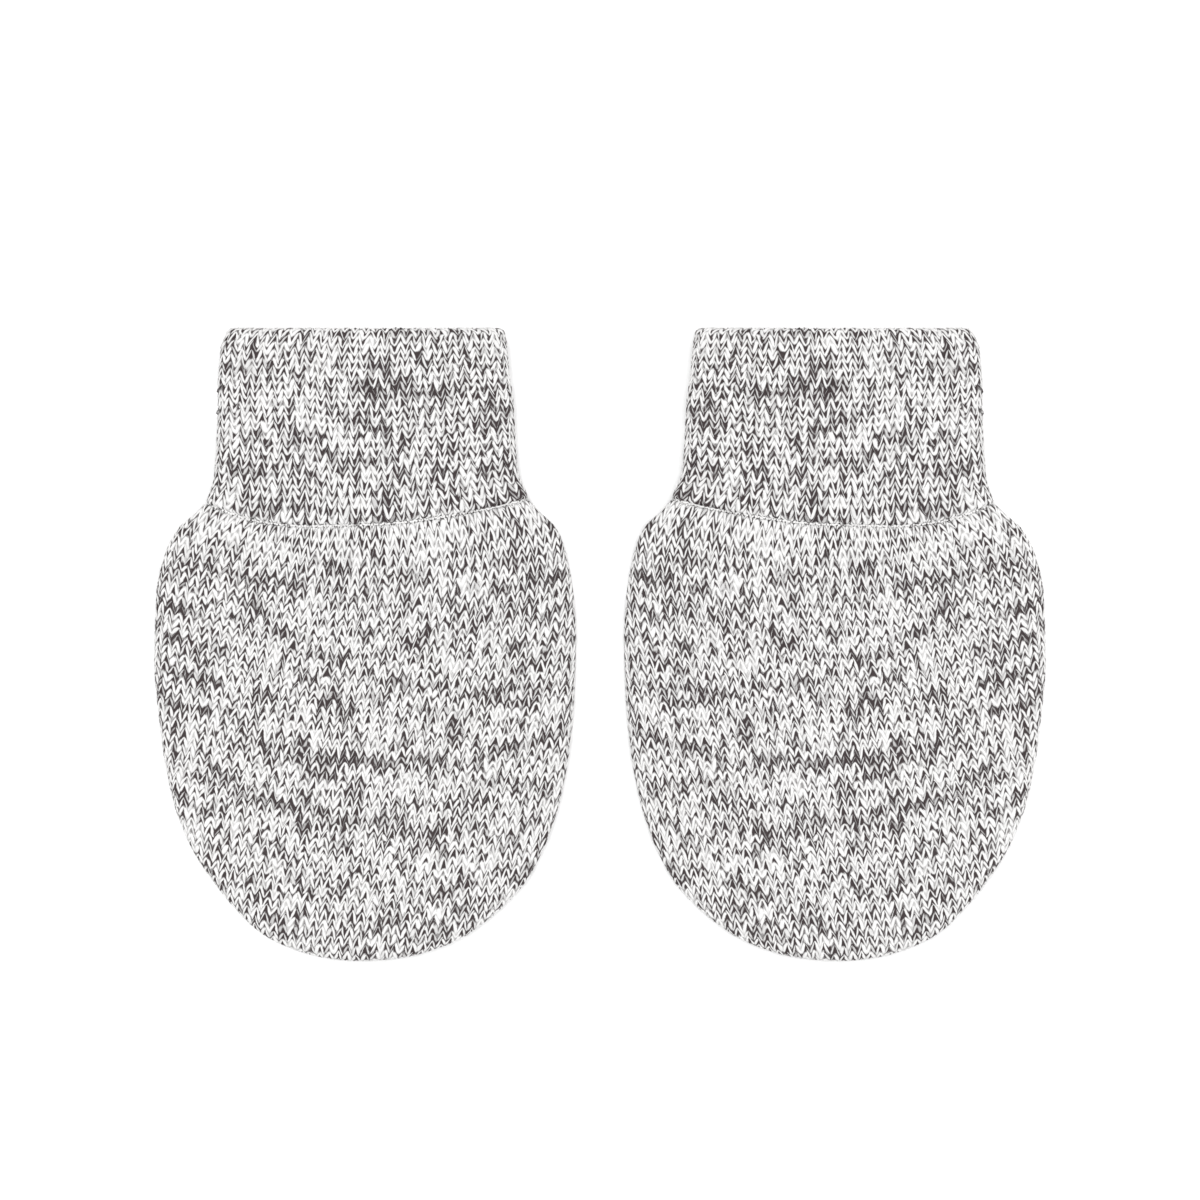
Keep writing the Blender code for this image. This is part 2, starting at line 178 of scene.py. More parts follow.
HAND_STREAKS = tuple(Streak(*row) for row in (
    (30.2, 41.9, 1.8, 0.4), (-25.5, 42.2, 3.2, 0.4), (-33.5, 43, 2.2, 0.5), (28.5, 43.6, 2.4, 0.8),
    (-6.4, 44.4, 1.6, 1.1), (-29.5, 45, 2, 0.8), (25.5, 45, 1.6, 0.4), (-6, 45.9, 1.6, 1.2),
    (6.5, 46, 1.2, 0.6), (36.2, 46.4, 2.4, 1.8), (-23, 47, 3.5, 1), (-37, 47, 1.6, 0.3),
    (31.5, 47.2, 3, 0.7), (8.6, 47.4, 1.4, 0.7), (20, 48.6, 2.8, 0.8), (-14.4, 48.9, 1.8, 1.2),
    (-33, 49, 2.2, 0.9), (10.4, 49, 1.2, 0.7), (27, 49.2, 3.6, 0.8), (-7, 49.6, 2.2, 0.7),
    (15.8, 51, 1.6, 1), (30.6, 51.3, 1.4, 1.2), (-21.4, 51.5, 1.6, 0.7), (3.2, 51.8, 1.2, 1.4),
    (-37.5, 51.8, 2.4, 0.4), (35.5, 53.4, 2.8, 1.4), (-19.4, 53.5, 1.4, 1), (-24, 54.2, 2, 1.3),
    (-33, 54.3, 2, 1.1), (28.6, 54.6, 1.6, 1), (24.4, 56.3, 1.6, 0.3), (0.6, 57.9, 1.6, 0.8),
    (-15.6, 58, 3.2, 1), (11.4, 58.6, 1.3, 1.3), (-35.6, 58.6, 1.9, 1.5), (8, 60, 3.6, 0.5),
    (5.5, 60, 1.5, 0.5), (28.5, 60.6, 2, 1.3), (-12, 60.6, 3, 0.3), (-29, 61.5, 1.8, 0.6),
    (-3.4, 61.8, 3, 0.8), (-9.5, 61.8, 3.5, 0.6), (-9.8, 63.6, 2, 0.3), (16.5, 64, 2.5, 0.2),
    (29.6, 64.8, 1.2, 1), (-10.8, 65.3, 1.8, 1), (-33.5, 65.5, 4.5, 0.9), (2.6, 66.4, 1.3, 0.7),
    (6.4, 67, 1.5, 1.4), (15, 67.2, 2.2, 0.6), (-28.2, 67.8, 1.5, 0.9), (7.5, 68.2, 1.2, 1),
    (-19.4, 68.8, 2, 1.2), (-5.6, 69, 1.4, 1.1), (26.5, 69.2, 4.2, 1), (30.5, 69.6, 2.5, 0.9),
    (0.8, 69.9, 2, 0.7), (18.5, 70.2, 2.6, 0.5), (31, 70.2, 1.8, 0.8), (-8, 70.8, 1.6, 1.1),
    (-35.5, 71.1, 5.5, 0.9), (-8.2, 72.2, 1.3, 0.8), (-17.2, 72.3, 1.8, 0.7), (-2.6, 72.6, 1.6, 1.4),
    (13.2, 72.8, 2.2, 0.9), (-3.2, 73.8, 1.2, 0.7), (28.6, 74.2, 1.2, 0.7), (16.4, 74.2, 1.1, 0.6),
    (16.6, 76, 1.2, 0.8), (-36, 76.2, 1.8, 0.4), (36.5, 76.8, 1.6, 0.8), (34.6, 77.2, 3.4, 1.9),
    (-12.4, 77.8, 1.8, 1.3), (17.3, 78.4, 1.2, 0.8), (-20, 78.4, 4.8, 0.6), (7.6, 78.4, 1.8, 1),
    (26.8, 79.4, 3.2, 1.2), (-16.5, 79.6, 3.5, 0.5), (-37, 80.5, 2, 0.3), (-5, 81, 8.5, 1.1),
    (13.2, 81, 2.6, 1), (5, 81.5, 5.5, 1), (20.6, 81.6, 1.5, 1), (-29.2, 82.2, 1.1, 0.7),
    (17.2, 82.6, 1, 1), (-11.5, 82.8, 2, 0.3), (-7.2, 83.4, 1.6, 0.5), (-28, 83.5, 1.4, 0.5),
    (-7.4, 84.3, 2.2, 1.8), (-26.5, 85.2, 1.6, 0.5), (33.8, 86.8, 1.6, 0.7), (-23, 88.4, 1.4, 1.3),
    (-2, 88.8, 1.4, 0.7), (-17, 89.4, 4.4, 0.9), (22, 89.4, 3.4, 0.5), (-34.6, 89.6, 1.8, 0.8),
    (-8.5, 91.2, 2.5, 0.6), (-31.8, 91.4, 1.5, 0.7), (2.6, 92.2, 2.8, 0.7), (-3, 92.8, 4, 0.45),
    (-12, 93, 1.3, 1.5), (32, 93, 2, 0.5), (5.6, 94, 1.8, 0.7), (14.4, 94.2, 2.2, 0.5),
    (-12.2, 95.2, 1.2, 0.4), (13.4, 96, 1.6, 1.6), (8, 96, 1.6, 0.7), (-3.3, 96.6, 1.6, 0.8),
    (13, 97.2, 1.2, 0.8), (-27.5, 98.2, 2, 0.7), (8.8, 98.4, 1.3, 1.5), (15.2, 99, 2, 1),
    (31, 101.8, 2.4, 0.9), (28.6, 104.2, 1.6, 0.8), (-13.4, 104.5, 1.4, 1.9), (-21, 104.6, 1.7, 0.9),
    (-7, 106.2, 5.5, 0.25), (18.6, 106.2, 2.4, 0.7), (14, 107.6, 2.6, 0.7), (17.8, 110, 1.8, 1.1),
    (-11.6, 110.6, 1.8, 0.9), (-17.5, 111.8, 2.8, 0.8), (3.2, 113, 4.5, 0.8), (15, 113.2, 2, 0.6),
    (-8, 116.2, 3.4, 0.3), (0, 117.2, 1.5, 0.6), (-28, 38.5, 4, -0.5), (-15.5, 41.6, 3.4, -0.5),
    (32.6, 42.2, 1.6, -0.6), (-16, 44, 3.4, -0.5), (10, 44.6, 4, -0.5), (19.5, 44.6, 3, -0.5),
    (-34, 45.4, 1.8, -0.4), (17.3, 45.8, 2.2, -0.6), (-6.5, 53.5, 2.8, -0.5), (22, 55.2, 2, -0.3),
    (8, 55.5, 4, -0.3), (-28, 57.2, 5, -0.5), (-13.5, 60, 1.5, -0.4), (32.5, 63.6, 1.6, -0.4),
    (18.5, 65.4, 2.6, -0.3), (-12.5, 71.5, 2, -0.6), (33, 72.8, 3, -0.5), (-24.5, 73, 2.5, -0.5),
    (-33, 74.2, 3, -0.5), (-23.2, 75, 2, -0.5), (-23, 76.6, 2, -0.3), (-12.6, 81.2, 1.4, -0.4),
    (-18.5, 81.6, 1.6, -0.5), (5.5, 86, 4.6, -0.6), (28.5, 87.6, 1.4, -0.5), (5.5, 88, 4.4, -0.6),
    (13, 90.2, 5, -0.4), (-24, 94.5, 4, -0.4), (5.5, 98.4, 1.8, -0.5), (24, 99.5, 3, -0.4),
    (22, 100, 1.6, -0.4), (-14, 101.3, 1.8, -0.5), (14, 102.5, 2.4, -0.6), (-1.8, 102.6, 1.4, -0.4),
    (-11, 107, 2, -0.5), (-6, 107.4, 1.8, -0.5), (23, 110, 3, -0.4), (12.5, 114.5, 2.5, -0.3),
))


@dataclass(frozen=True)
class MittenSizes:
    """Driving sizes of one mitten, the same as its solids have."""

    length: float = 120.0
    tip_across: float = 0.3  # where its lowest point lies
    centre_to_centre: float = 89.0  # of the two mittens
    seam_gap: float = 0.3  # between two pieces
    layer: float = 1.3  # thickness of one layer of jersey
    cuff_wall: float = 2.5  # thickness of the doubled cuff
    cuff_slot: float = 0.5  # height of its hollow
    cuff_lip: float = 1.3  # height of its rounded fold
    cuff_drop_from: float = 0.72  # share of the way down where it starts to settle
    cuff_seam_front: float = 2.6  # thickness of its front at the seam


def run_length(path: Array) -> Array:
    """Distance along a path at each of its points."""
    return np.append(0.0, np.cumsum(np.linalg.norm(np.diff(path, axis=0), axis=1)))


def hermite(t: Array, start: Array | float, end: Array | float, leave: Array | float,
            arrive: Array | float) -> Array:
    """The cubic from start to end with the slopes leave and arrive, as t goes from 0 to 1."""
    rise = 3 * t**2 - 2 * t**3
    return (1 - rise) * start + (t**3 - 2 * t**2 + t) * leave + rise * end + (t**3 - t**2) * arrive


def smooth_path(rows: Array, steps: int = 24) -> Array:
    """Cubics through points, whose slope at a point comes from those on either side.

    Args:
        rows: The points.
        steps: Fine steps between two of them.

    Returns:
        The curve's points.
    """
    run = run_length(rows)
    slope, chord = np.gradient(rows, run, axis=0), np.diff(run)[:, None, None]
    t = np.linspace(0.0, 1.0, steps, endpoint=False)[None, :, None]
    curve = hermite(t, rows[:-1, None], rows[1:, None], slope[:-1, None] * chord, slope[1:, None] * chord)
    return np.vstack([curve.reshape(-1, rows.shape[1]), rows[-1:]])


def ease(x: Array, low: float = 0.0, high: float = 1.0) -> Array:
    """A soft step from 0 to 1 as x goes from low to high."""
    x = np.clip((x - low) / (high - low), 0.0, 1.0)
    return x * x * (3.0 - 2.0 * x)


def fade(distance: Array, reach: float) -> Array:
    """1 at a distance of 0 and before it, then falling exponentially over this reach."""
    return np.exp(-np.maximum(distance, 0.0) / reach)


def turn_average(values: Array, reach: float, step: float) -> Array:
    """Blurs values round a closed line with a bell curve.

    Args:
        values: A row for each point.
        reach: The bell curve's spread.
        step: Distance between two points.

    Returns:
        The blurred values.
    """
    most = math.ceil(3 * reach / step)
    taps = np.arange(-most, most + 1)
    weights = np.exp(-0.5 * (taps * step / reach) ** 2)
    return sum(w * np.roll(values, k, axis=0) for k, w in zip(taps, weights / weights.sum()))


def cell_noise(u: Array, v: Array, seed: int) -> Array:
    """A random value from -1 to 1 for each pair of whole numbers."""
    grid = np.random.default_rng(seed).uniform(-1.0, 1.0, (np.ptp(v) + 1, np.ptp(u) + 1))
    return grid[v - v.min(), u - u.min()]


def soft_noise(u: Array, v: Array, seed: int) -> Array:
    """Smooth noise: random values from -1 to 1 on whole numbers, with a soft step between them.

    Args:
        u: First coordinate.
        v: Second coordinate.
        seed: Picks the noise.

    Returns:
        The noise there.
    """
    iu, iv = np.floor(u).astype(int), np.floor(v).astype(int)
    fu, fv = ease(u - iu), ease(v - iv)
    iu, iv = iu - iu.min(), iv - iv.min()
    grid = np.random.default_rng(seed).uniform(-1.0, 1.0, (iv.max() + 2, iu.max() + 2))
    near = grid[iv, iu] * (1 - fu) + grid[iv, iu + 1] * fu
    far = grid[iv + 1, iu] * (1 - fu) + grid[iv + 1, iu + 1] * fu
    return near * (1 - fv) + far * fv


def across_gap(points: Array, axis: int = 0) -> Array:
    """From each point's neighbour before to the one after, along an axis that closes on itself."""
    return np.roll(points, -1, axis) - np.roll(points, 1, axis)


def unit(vectors: Array) -> Array:
    """The vectors at a length of one."""
    return vectors / np.maximum(np.linalg.norm(vectors, axis=-1, keepdims=True), 1e-12)


@dataclass
class EdgeFit:
    """Where points lie against a hand panel's edge."""

    inside: Array  # distance in from the edge, negative outside
    inward: Array  # unit vector in from the nearest edge
    seamness: Array  # 1 where the nearest edge is the cuff seam, 0 at the sides
    from_seam: Array  # distance from the cuff seam


@dataclass
class MittenPlan:
    """The outline of one mitten, its cuff seam, and how points lie against them."""

    sizes: MittenSizes
    edge_step: float = 0.5  # between two points of the closed edge
    seam_space: float = 0.08  # between a piece's edge and the middle of the seam
    corner: float = 0.6  # how softly the seam's ends turn into the sides
    blend: float = 1.6  # how softly the seam's rounding turns into the sides'
    seam_lean: float = 0.95  # distance from the slanting seam for a step straight down
    chunk: int = 6000  # points measured at a time

    def __post_init__(self) -> None:
        """Joins seam and sides in one closed line of even steps, trimmed along the seam."""
        self.seam = smooth_path(np.array(CUFF_SEAM))
        inner = [(row.inner, row.down) for row in HAND_SECTIONS]
        outer = [(-row.outer, row.down) for row in reversed(HAND_SECTIONS)]
        tip = self.sizes.tip_across, self.sizes.length
        side = smooth_path(np.array([CUFF_SEAM[-1], *inner, tip, *outer, CUFF_SEAM[0]]))
        path = np.vstack([self.seam, side[1:]])
        run = run_length(path)
        at, step = np.linspace(0.0, run[-1], round(run[-1] / self.edge_step), endpoint=False, retstep=True)
        edge = np.column_stack([np.interp(at, run, column) for column in path.T])
        on_seam = (at <= run_length(self.seam)[-1]).astype(float)
        self.seamness = turn_average(on_seam, self.blend, step)
        trim = self.seam_space * turn_average(on_seam, self.corner, step)
        self.edge = turn_average(edge + self._normals(edge) * trim[:, None], self.corner, step)
        self.normal = self._normals(self.edge)

    @staticmethod
    def _normals(edge: Array) -> Array:
        """Unit vectors into the closed line: each point's step along it, turned a quarter round."""
        return unit(across_gap(edge)[:, ::-1] * (-1, 1))

    def fit(self, points: Array) -> EdgeFit:
        """Finds each point's nearest spot on the edge, and its side by the normal there.

        Args:
            points: Rows of (across, down).

        Returns:
            Each point's place against the edge.
        """
        start, step = self.edge, np.roll(self.edge, -1, axis=0) - self.edge
        known = np.column_stack([self.normal, self.seamness])
        rows = []
        for some in np.array_split(points, len(points) // self.chunk + 1):
            offset = some[:, None] - start
            share = np.clip((offset * step).sum(axis=2) / (step**2).sum(axis=1), 0.0, 1.0)
            offset -= share[..., None] * step
            away = np.linalg.norm(offset, axis=2)
            row, k = np.arange(len(some)), away.argmin(axis=1)
            t = share[row, k, None]
            found = known[k] * (1 - t) + known[(k + 1) % len(start)] * t
            towards = (offset[row, k] * found[:, :2]).sum(axis=1)
            rows.append(np.column_stack([np.copysign(away[row, k], towards), found]))
        inside, *inward, seamness = np.vstack(rows).T
        below = np.maximum((points[:, 1] - self.seam_down(points[:, 0])) * self.seam_lean, inside)
        return EdgeFit(inside, np.column_stack(inward), seamness, np.where(seamness > 0.5, inside, below))

    def seam_down(self, across: Array) -> Array:
        """How far down the cuff seam lies at each distance across."""
        return np.interp(across, *self.seam.T)

    def cuff_reach(self, down: Array) -> Pair:
        """The cuff's outer and inner reach at distances down from the wrist fold."""
        at, outer, inner = np.array(CUFF_SECTIONS).T
        return np.interp(down, at, outer), np.interp(down, at, inner)


def leg_values(wale: Array, band: Array, value: Callable[[Array, Array], Array]) -> Array:
    """A value for each leg, averaged where two or four legs meet.

    Args:
        wale: Wale of each point.
        band: Its band.
        value: Gives the value for whole numbers of half wales and bands.

    Returns:
        The mean of the values a little to each side.
    """
    aside = (-0.02, 0.02)
    halves, legs = ([np.floor(x).astype(int) for x in both] for both in (
        [(wale + du) * 2 for du in aside], [band + dv for dv in aside]))
    return sum(value(half, leg) for half in halves for leg in legs) / 4.0


def leg_middles(wales: tuple[int, int], bands: tuple[int, int]) -> Pair:
    """Wale and band of the middle of each left leg, between whole numbers of both."""
    return tuple(np.meshgrid(np.arange(*wales) + 0.25, np.arange(*bands) + 0.5))


@dataclass(frozen=True)
class KnitGauge:
    """One piece's stitches: their size, their slant and the shape of their legs.

    A place in the knitting is a pair of numbers: wale counts stitches across, and band counts legs
    along a wale. The course it lies on is the band plus the leg's climb at that place in the wale.
    """

    wale: float  # width of one stitch
    course: float  # height of one stitch
    vee: Vee
    climb: float = 1.0  # courses a leg climbs over half a wale
    relief: float = 0.34  # height of a leg over the furrow beside it
    unevenness: float = 0.24  # how much the legs differ in height
    columns: int = 8  # grid columns to a wale
    rows: tuple[float, ...] = (0.0, 0.17, 0.5, 0.83)  # grid rows across a leg
    leave: float = 0.9  # how steeply a leg leaves its foot, 1 for a straight leg
    arrive: float = 0.2  # how steeply it arrives where the two legs meet
    foot_turn: float = 0.10  # how far the leg's ridge turns to one side at its foot, in bands,
    apex_turn: float = 0.12  # and to the other where the legs meet

    ROUND = (0.0, 0.17, 0.5, 0.83, 1.0), (0.0, 0.74, 1.0, 0.74, 0.0)  # height across a leg
    DIP = (0.0, 0.25, 0.5, 0.75, 1.0), (0.2, 0.86, 1.0, 0.96, 0.58)  # height along it
    GATHERED_DIP = (0.0, 0.25, 0.5), (0.75, 0.2, 0.0)  # lower by so much if gathered
    AT_FOOT, AT_APEX = (0.45, 0.0), (0.58, 1.0)  # where along the leg its ridge turns

    @staticmethod
    def along(wale: Array) -> Array:
        """Place along a leg: 0 where two wales meet, 1 where the stitch's two legs meet."""
        return 1.0 - np.abs(2.0 * (wale - np.floor(wale)) - 1.0)

    def course_of(self, wale: Array, band: Array) -> Array:
        """The course at a place: the band, plus the climb times a cubic wave between the wales."""
        wave = hermite(self.along(wale), 0.0, 1.0, self.leave, self.arrive)
        return band + self.vee.value * self.climb * wave

    def crest(self, wale: Array, band: Array, gather: Array, seed: int) -> Array:
        """Height of the yarn: a leg's round section times its dips along it and its own random part.

        Args:
            wale: Wale of each point.
            band: Its band.
            gather: How tightly it is gathered.
            seed: Picks the random parts.

        Returns:
            The height, from 0 in a furrow to about 1 on a leg.
        """
        m = self.along(wale)
        turn = self.foot_turn * ease(m, *self.AT_FOOT) - self.apex_turn * ease(m, *self.AT_APEX)
        section = np.interp((band + self.vee.value * turn) % 1.0, *self.ROUND)
        dip = np.interp(m, *self.DIP) - gather * np.interp(m, *self.GATHERED_DIP)
        legs = leg_values(wale, band, lambda half, leg: cell_noise(half, leg, seed))
        return section * dip * (1.0 + self.unevenness * legs)

    def grid(self, wales: tuple[int, int], bands: tuple[int, int]) -> Pair:
        """Wale and band of each grid point, between whole numbers of wales and of bands."""
        across = np.arange(wales[0] * self.columns, wales[1] * self.columns + 1) / self.columns
        return tuple(np.meshgrid(across, np.add.outer(np.arange(*bands), self.rows).ravel()))


@dataclass(frozen=True)
class Heather:
    """How the dark fibres are spread along the yarn, from 0, white, to 1, charcoal."""

    base: float = 0.28
    stitch: float = 0.14  # how much one stitch differs from the next
    stretch: float = 0.10  # how much a stretch of one course differs from the next
    stretch_wales: float = 6.0  # how long a stretch is
    finer: float = 3.0  # how many times shorter the second kind of stretch is
    cloud: float = 0.04  # how much one area differs from the next
    cloud_legs: float = 5.0  # how wide and high an area is
    streak: float = 0.68  # how dark the named streaks are
    streak_height: float = 0.9  # from a streak's middle to where it fades

    def darkness(self, wale: Array, band: Array, where: Callable[[Array, Array], Pair],
                 streaks: tuple[Streak, ...], seed: int) -> Array:
        """Share of dark fibre: the base, random parts of a leg's stitch, stretch and area, and streaks.

        Args:
            wale: Wale of each point.
            band: Its band.
            where: Gives (across, down) for a wale and a band.
            streaks: Each adds a bell curve.
            seed: Picks the random parts.

        Returns:
            The share, from 0 to 1.
        """

        def of_leg(half: Array, leg: Array) -> Array:
            """The share of whole legs.

            Args:
                half: Half wales, as whole numbers.
                leg: Bands, as whole numbers.

            Returns:
                The share, before it is clipped.
            """
            middle, row = half / 2 + 0.25, leg + 0.5
            share = self.base + self.stitch * cell_noise(half // 2, leg, seed + 1)
            for finer, part in ((1.0, 2), (self.finer, 4)):
                noise = soft_noise(middle / self.stretch_wales * finer, leg, seed + part)
                share = share + self.stretch * noise
            cloud = soft_noise(middle / self.cloud_legs, row / self.cloud_legs, seed + 3)
            share = share + self.cloud * cloud
            across, down = where(middle, row)
            for s in streaks:
                along, beside = (across - s.across) / s.half_length, (down - s.down) / self.streak_height
                share = share + self.streak * s.strength * np.exp(-(along**2 + beside**2))
            return share

        return np.clip(leg_values(wale, band, of_leg), 0.0, 1.0)


@dataclass
class Shell:
    """A knitted surface before it is placed: points, faces and what the cloth's finish reads."""

    points: Array  # across, down, height
    faces: Array  # four points to a row
    knit: Array  # wale and band at each point
    heather: Array  # share of dark fibre at each point
    gather: Array  # how tightly the stitches are gathered at each point, 1 at the cuff seam


def surface_normals(points: Array, wraps: bool = False) -> Array:
    """Unit normals of a grid: the cross product of its two directions. It may join itself both ways."""
    step = across_gap if wraps else np.gradient
    return unit(np.cross(step(points, axis=1), step(points, axis=0)))


def ring_faces(rows: int, columns: int) -> Array:
    """Faces of a grid whose last row and column join the first, four points to a row."""
    index = np.arange(rows * columns).reshape(rows, columns)
    below = np.roll(index, -1, axis=0)
    return np.stack([index, np.roll(index, -1, 1), np.roll(below, -1, 1), below], axis=2).reshape(-1, 4)


def enclosed_volume(points: Array, faces: Array) -> float:
    """Volume inside four-sided faces, below zero if they face inwards."""
    a, b, c, d = (points[faces[:, k]] for k in range(4))
    return float((a * np.cross(b, c)).sum() + (a * np.cross(c, d)).sum()) / 6.0


@dataclass
class ClothPiece:
    """Places knitted shells in the shared frame as finished objects."""

    sizes: MittenSizes

    def world(self, points: Array, side: Side) -> Array:
        """Points in metres from a mitten's own plan."""
        x = side.value * (self.sizes.centre_to_centre / 2 - points[:, 0])
        return np.column_stack([x, self.sizes.length / 2 - points[:, 1], points[:, 2]]) * MM

    def make(self, name: str, shell: Shell, side: Side, finish: bpy.types.Material) -> bpy.types.Object:
        """Makes one piece that rides on the part's one body.

        Args:
            name: Its name, after the side's word.
            shell: Its surface, which is closed here if it has an open edge.
            side: The mitten it belongs to.
            finish: Its material.

        Returns:
            The linked object.
        """
        points, faces = self.world(shell.points, side), shell.faces
        if enclosed_volume(points, faces) < 0:
            faces = faces[:, ::-1]
        mesh = bpy.data.meshes.new(side.named(name))
        mesh.from_pydata(points.tolist(), [], faces.tolist())
        knit = mesh.uv_layers.new(name="knit")
        knit.data.foreach_set("uv", shell.knit[faces.ravel()].astype(np.float32).ravel())
        for label in ("heather", "gather"):
            layer = mesh.attributes.new(label, "FLOAT", "POINT")
            layer.data.foreach_set("value", getattr(shell, label).astype(np.float32))
        self._fill_open_edge(mesh)
        mesh.shade_smooth()
        mesh.validate()
        mesh.materials.append(finish)
        piece = bpy.data.objects.new(side.named(name), mesh)
        bpy.context.scene.collection.objects.link(piece)
        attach(piece, "root")
        log.info("%s: %d faces", piece.name, len(mesh.polygons))
        return piece

    @staticmethod
    def _fill_open_edge(mesh: bpy.types.Mesh) -> None:
        """Closes an open edge with one flat face, cut into triangles.

        Args:
            mesh: The mesh, left as it is if it has no open edge.
        """
        bm = bmesh.new()
        bm.from_mesh(mesh)
        rim = [edge for edge in bm.edges if edge.is_boundary]
        if rim:
            made = bmesh.ops.holes_fill(bm, edges=rim, sides=0)["faces"]
            bmesh.ops.triangulate(bm, faces=made)
            bm.to_mesh(mesh)
        bm.free()


@dataclass(frozen=True)
class EdgeProfile:
    """How cloth turns over at an edge, keeping its length: round, down a short face, then in under."""

    width: float  # how far in the rounding starts
    drop: float  # how much it drops by the edge
    face: float  # upright stretch below that
    under: float  # stretch turned in below the edge

    STEPS = 40
    CORNER = 0.8, 0.08  # the face's lower corner is cut from this share of it to this far in

    def turned(self, inside: Array) -> tuple[Array, Array, float, float]:
        """Carries flat points round a quarter ellipse, down the face and in under it.

        Args:
            inside: Their flat distance in from the edge.

        Returns:
            Their shift inwards and drop, the whole depth, and how far in the cloth ends.
        """
        turn = np.linspace(0.0, math.pi / 2, self.STEPS)
        arc = np.column_stack([self.width * (1.0 - np.sin(turn)), self.drop * (1.0 - np.cos(turn))])
        depth, (share, cut) = self.drop + self.face, self.CORNER
        path = np.vstack([arc, (0.0, self.drop + share * self.face), (cut, depth), (self.under, depth)])
        run = run_length(path)
        inset, drop = (np.interp(self.width - inside, run, column) for column in path.T)
        return np.where(inside < self.width, inset - inside, 0.0), drop, depth, self.width - run[-1]


class PanelForm(NamedTuple):
    """What a front and a back hand panel don't share."""

    side: EdgeProfile  # round the sides and the fingertips
    seam: EdgeProfile  # along the cuff seam
    edge_height: float  # of the outer face where it is turned in
    inner_height: float  # of the flat inner face
    up: int  # which way the outer face looks


class Facing(Enum):
    """Which of a mitten's two hand panels: the upper one or the one it lies on."""

    FRONT = PanelForm(EdgeProfile(2.4, 1.6, 0.22, 0.5), EdgeProfile(0.7, 0.3, 2.0, 0.35), 1.48, 1.62, 1)
    BACK = PanelForm(EdgeProfile(1.4, 1.05, 0.2, 0.5), EdgeProfile(1.4, 1.05, 0.2, 0.35), 1.36, 1.28, -1)


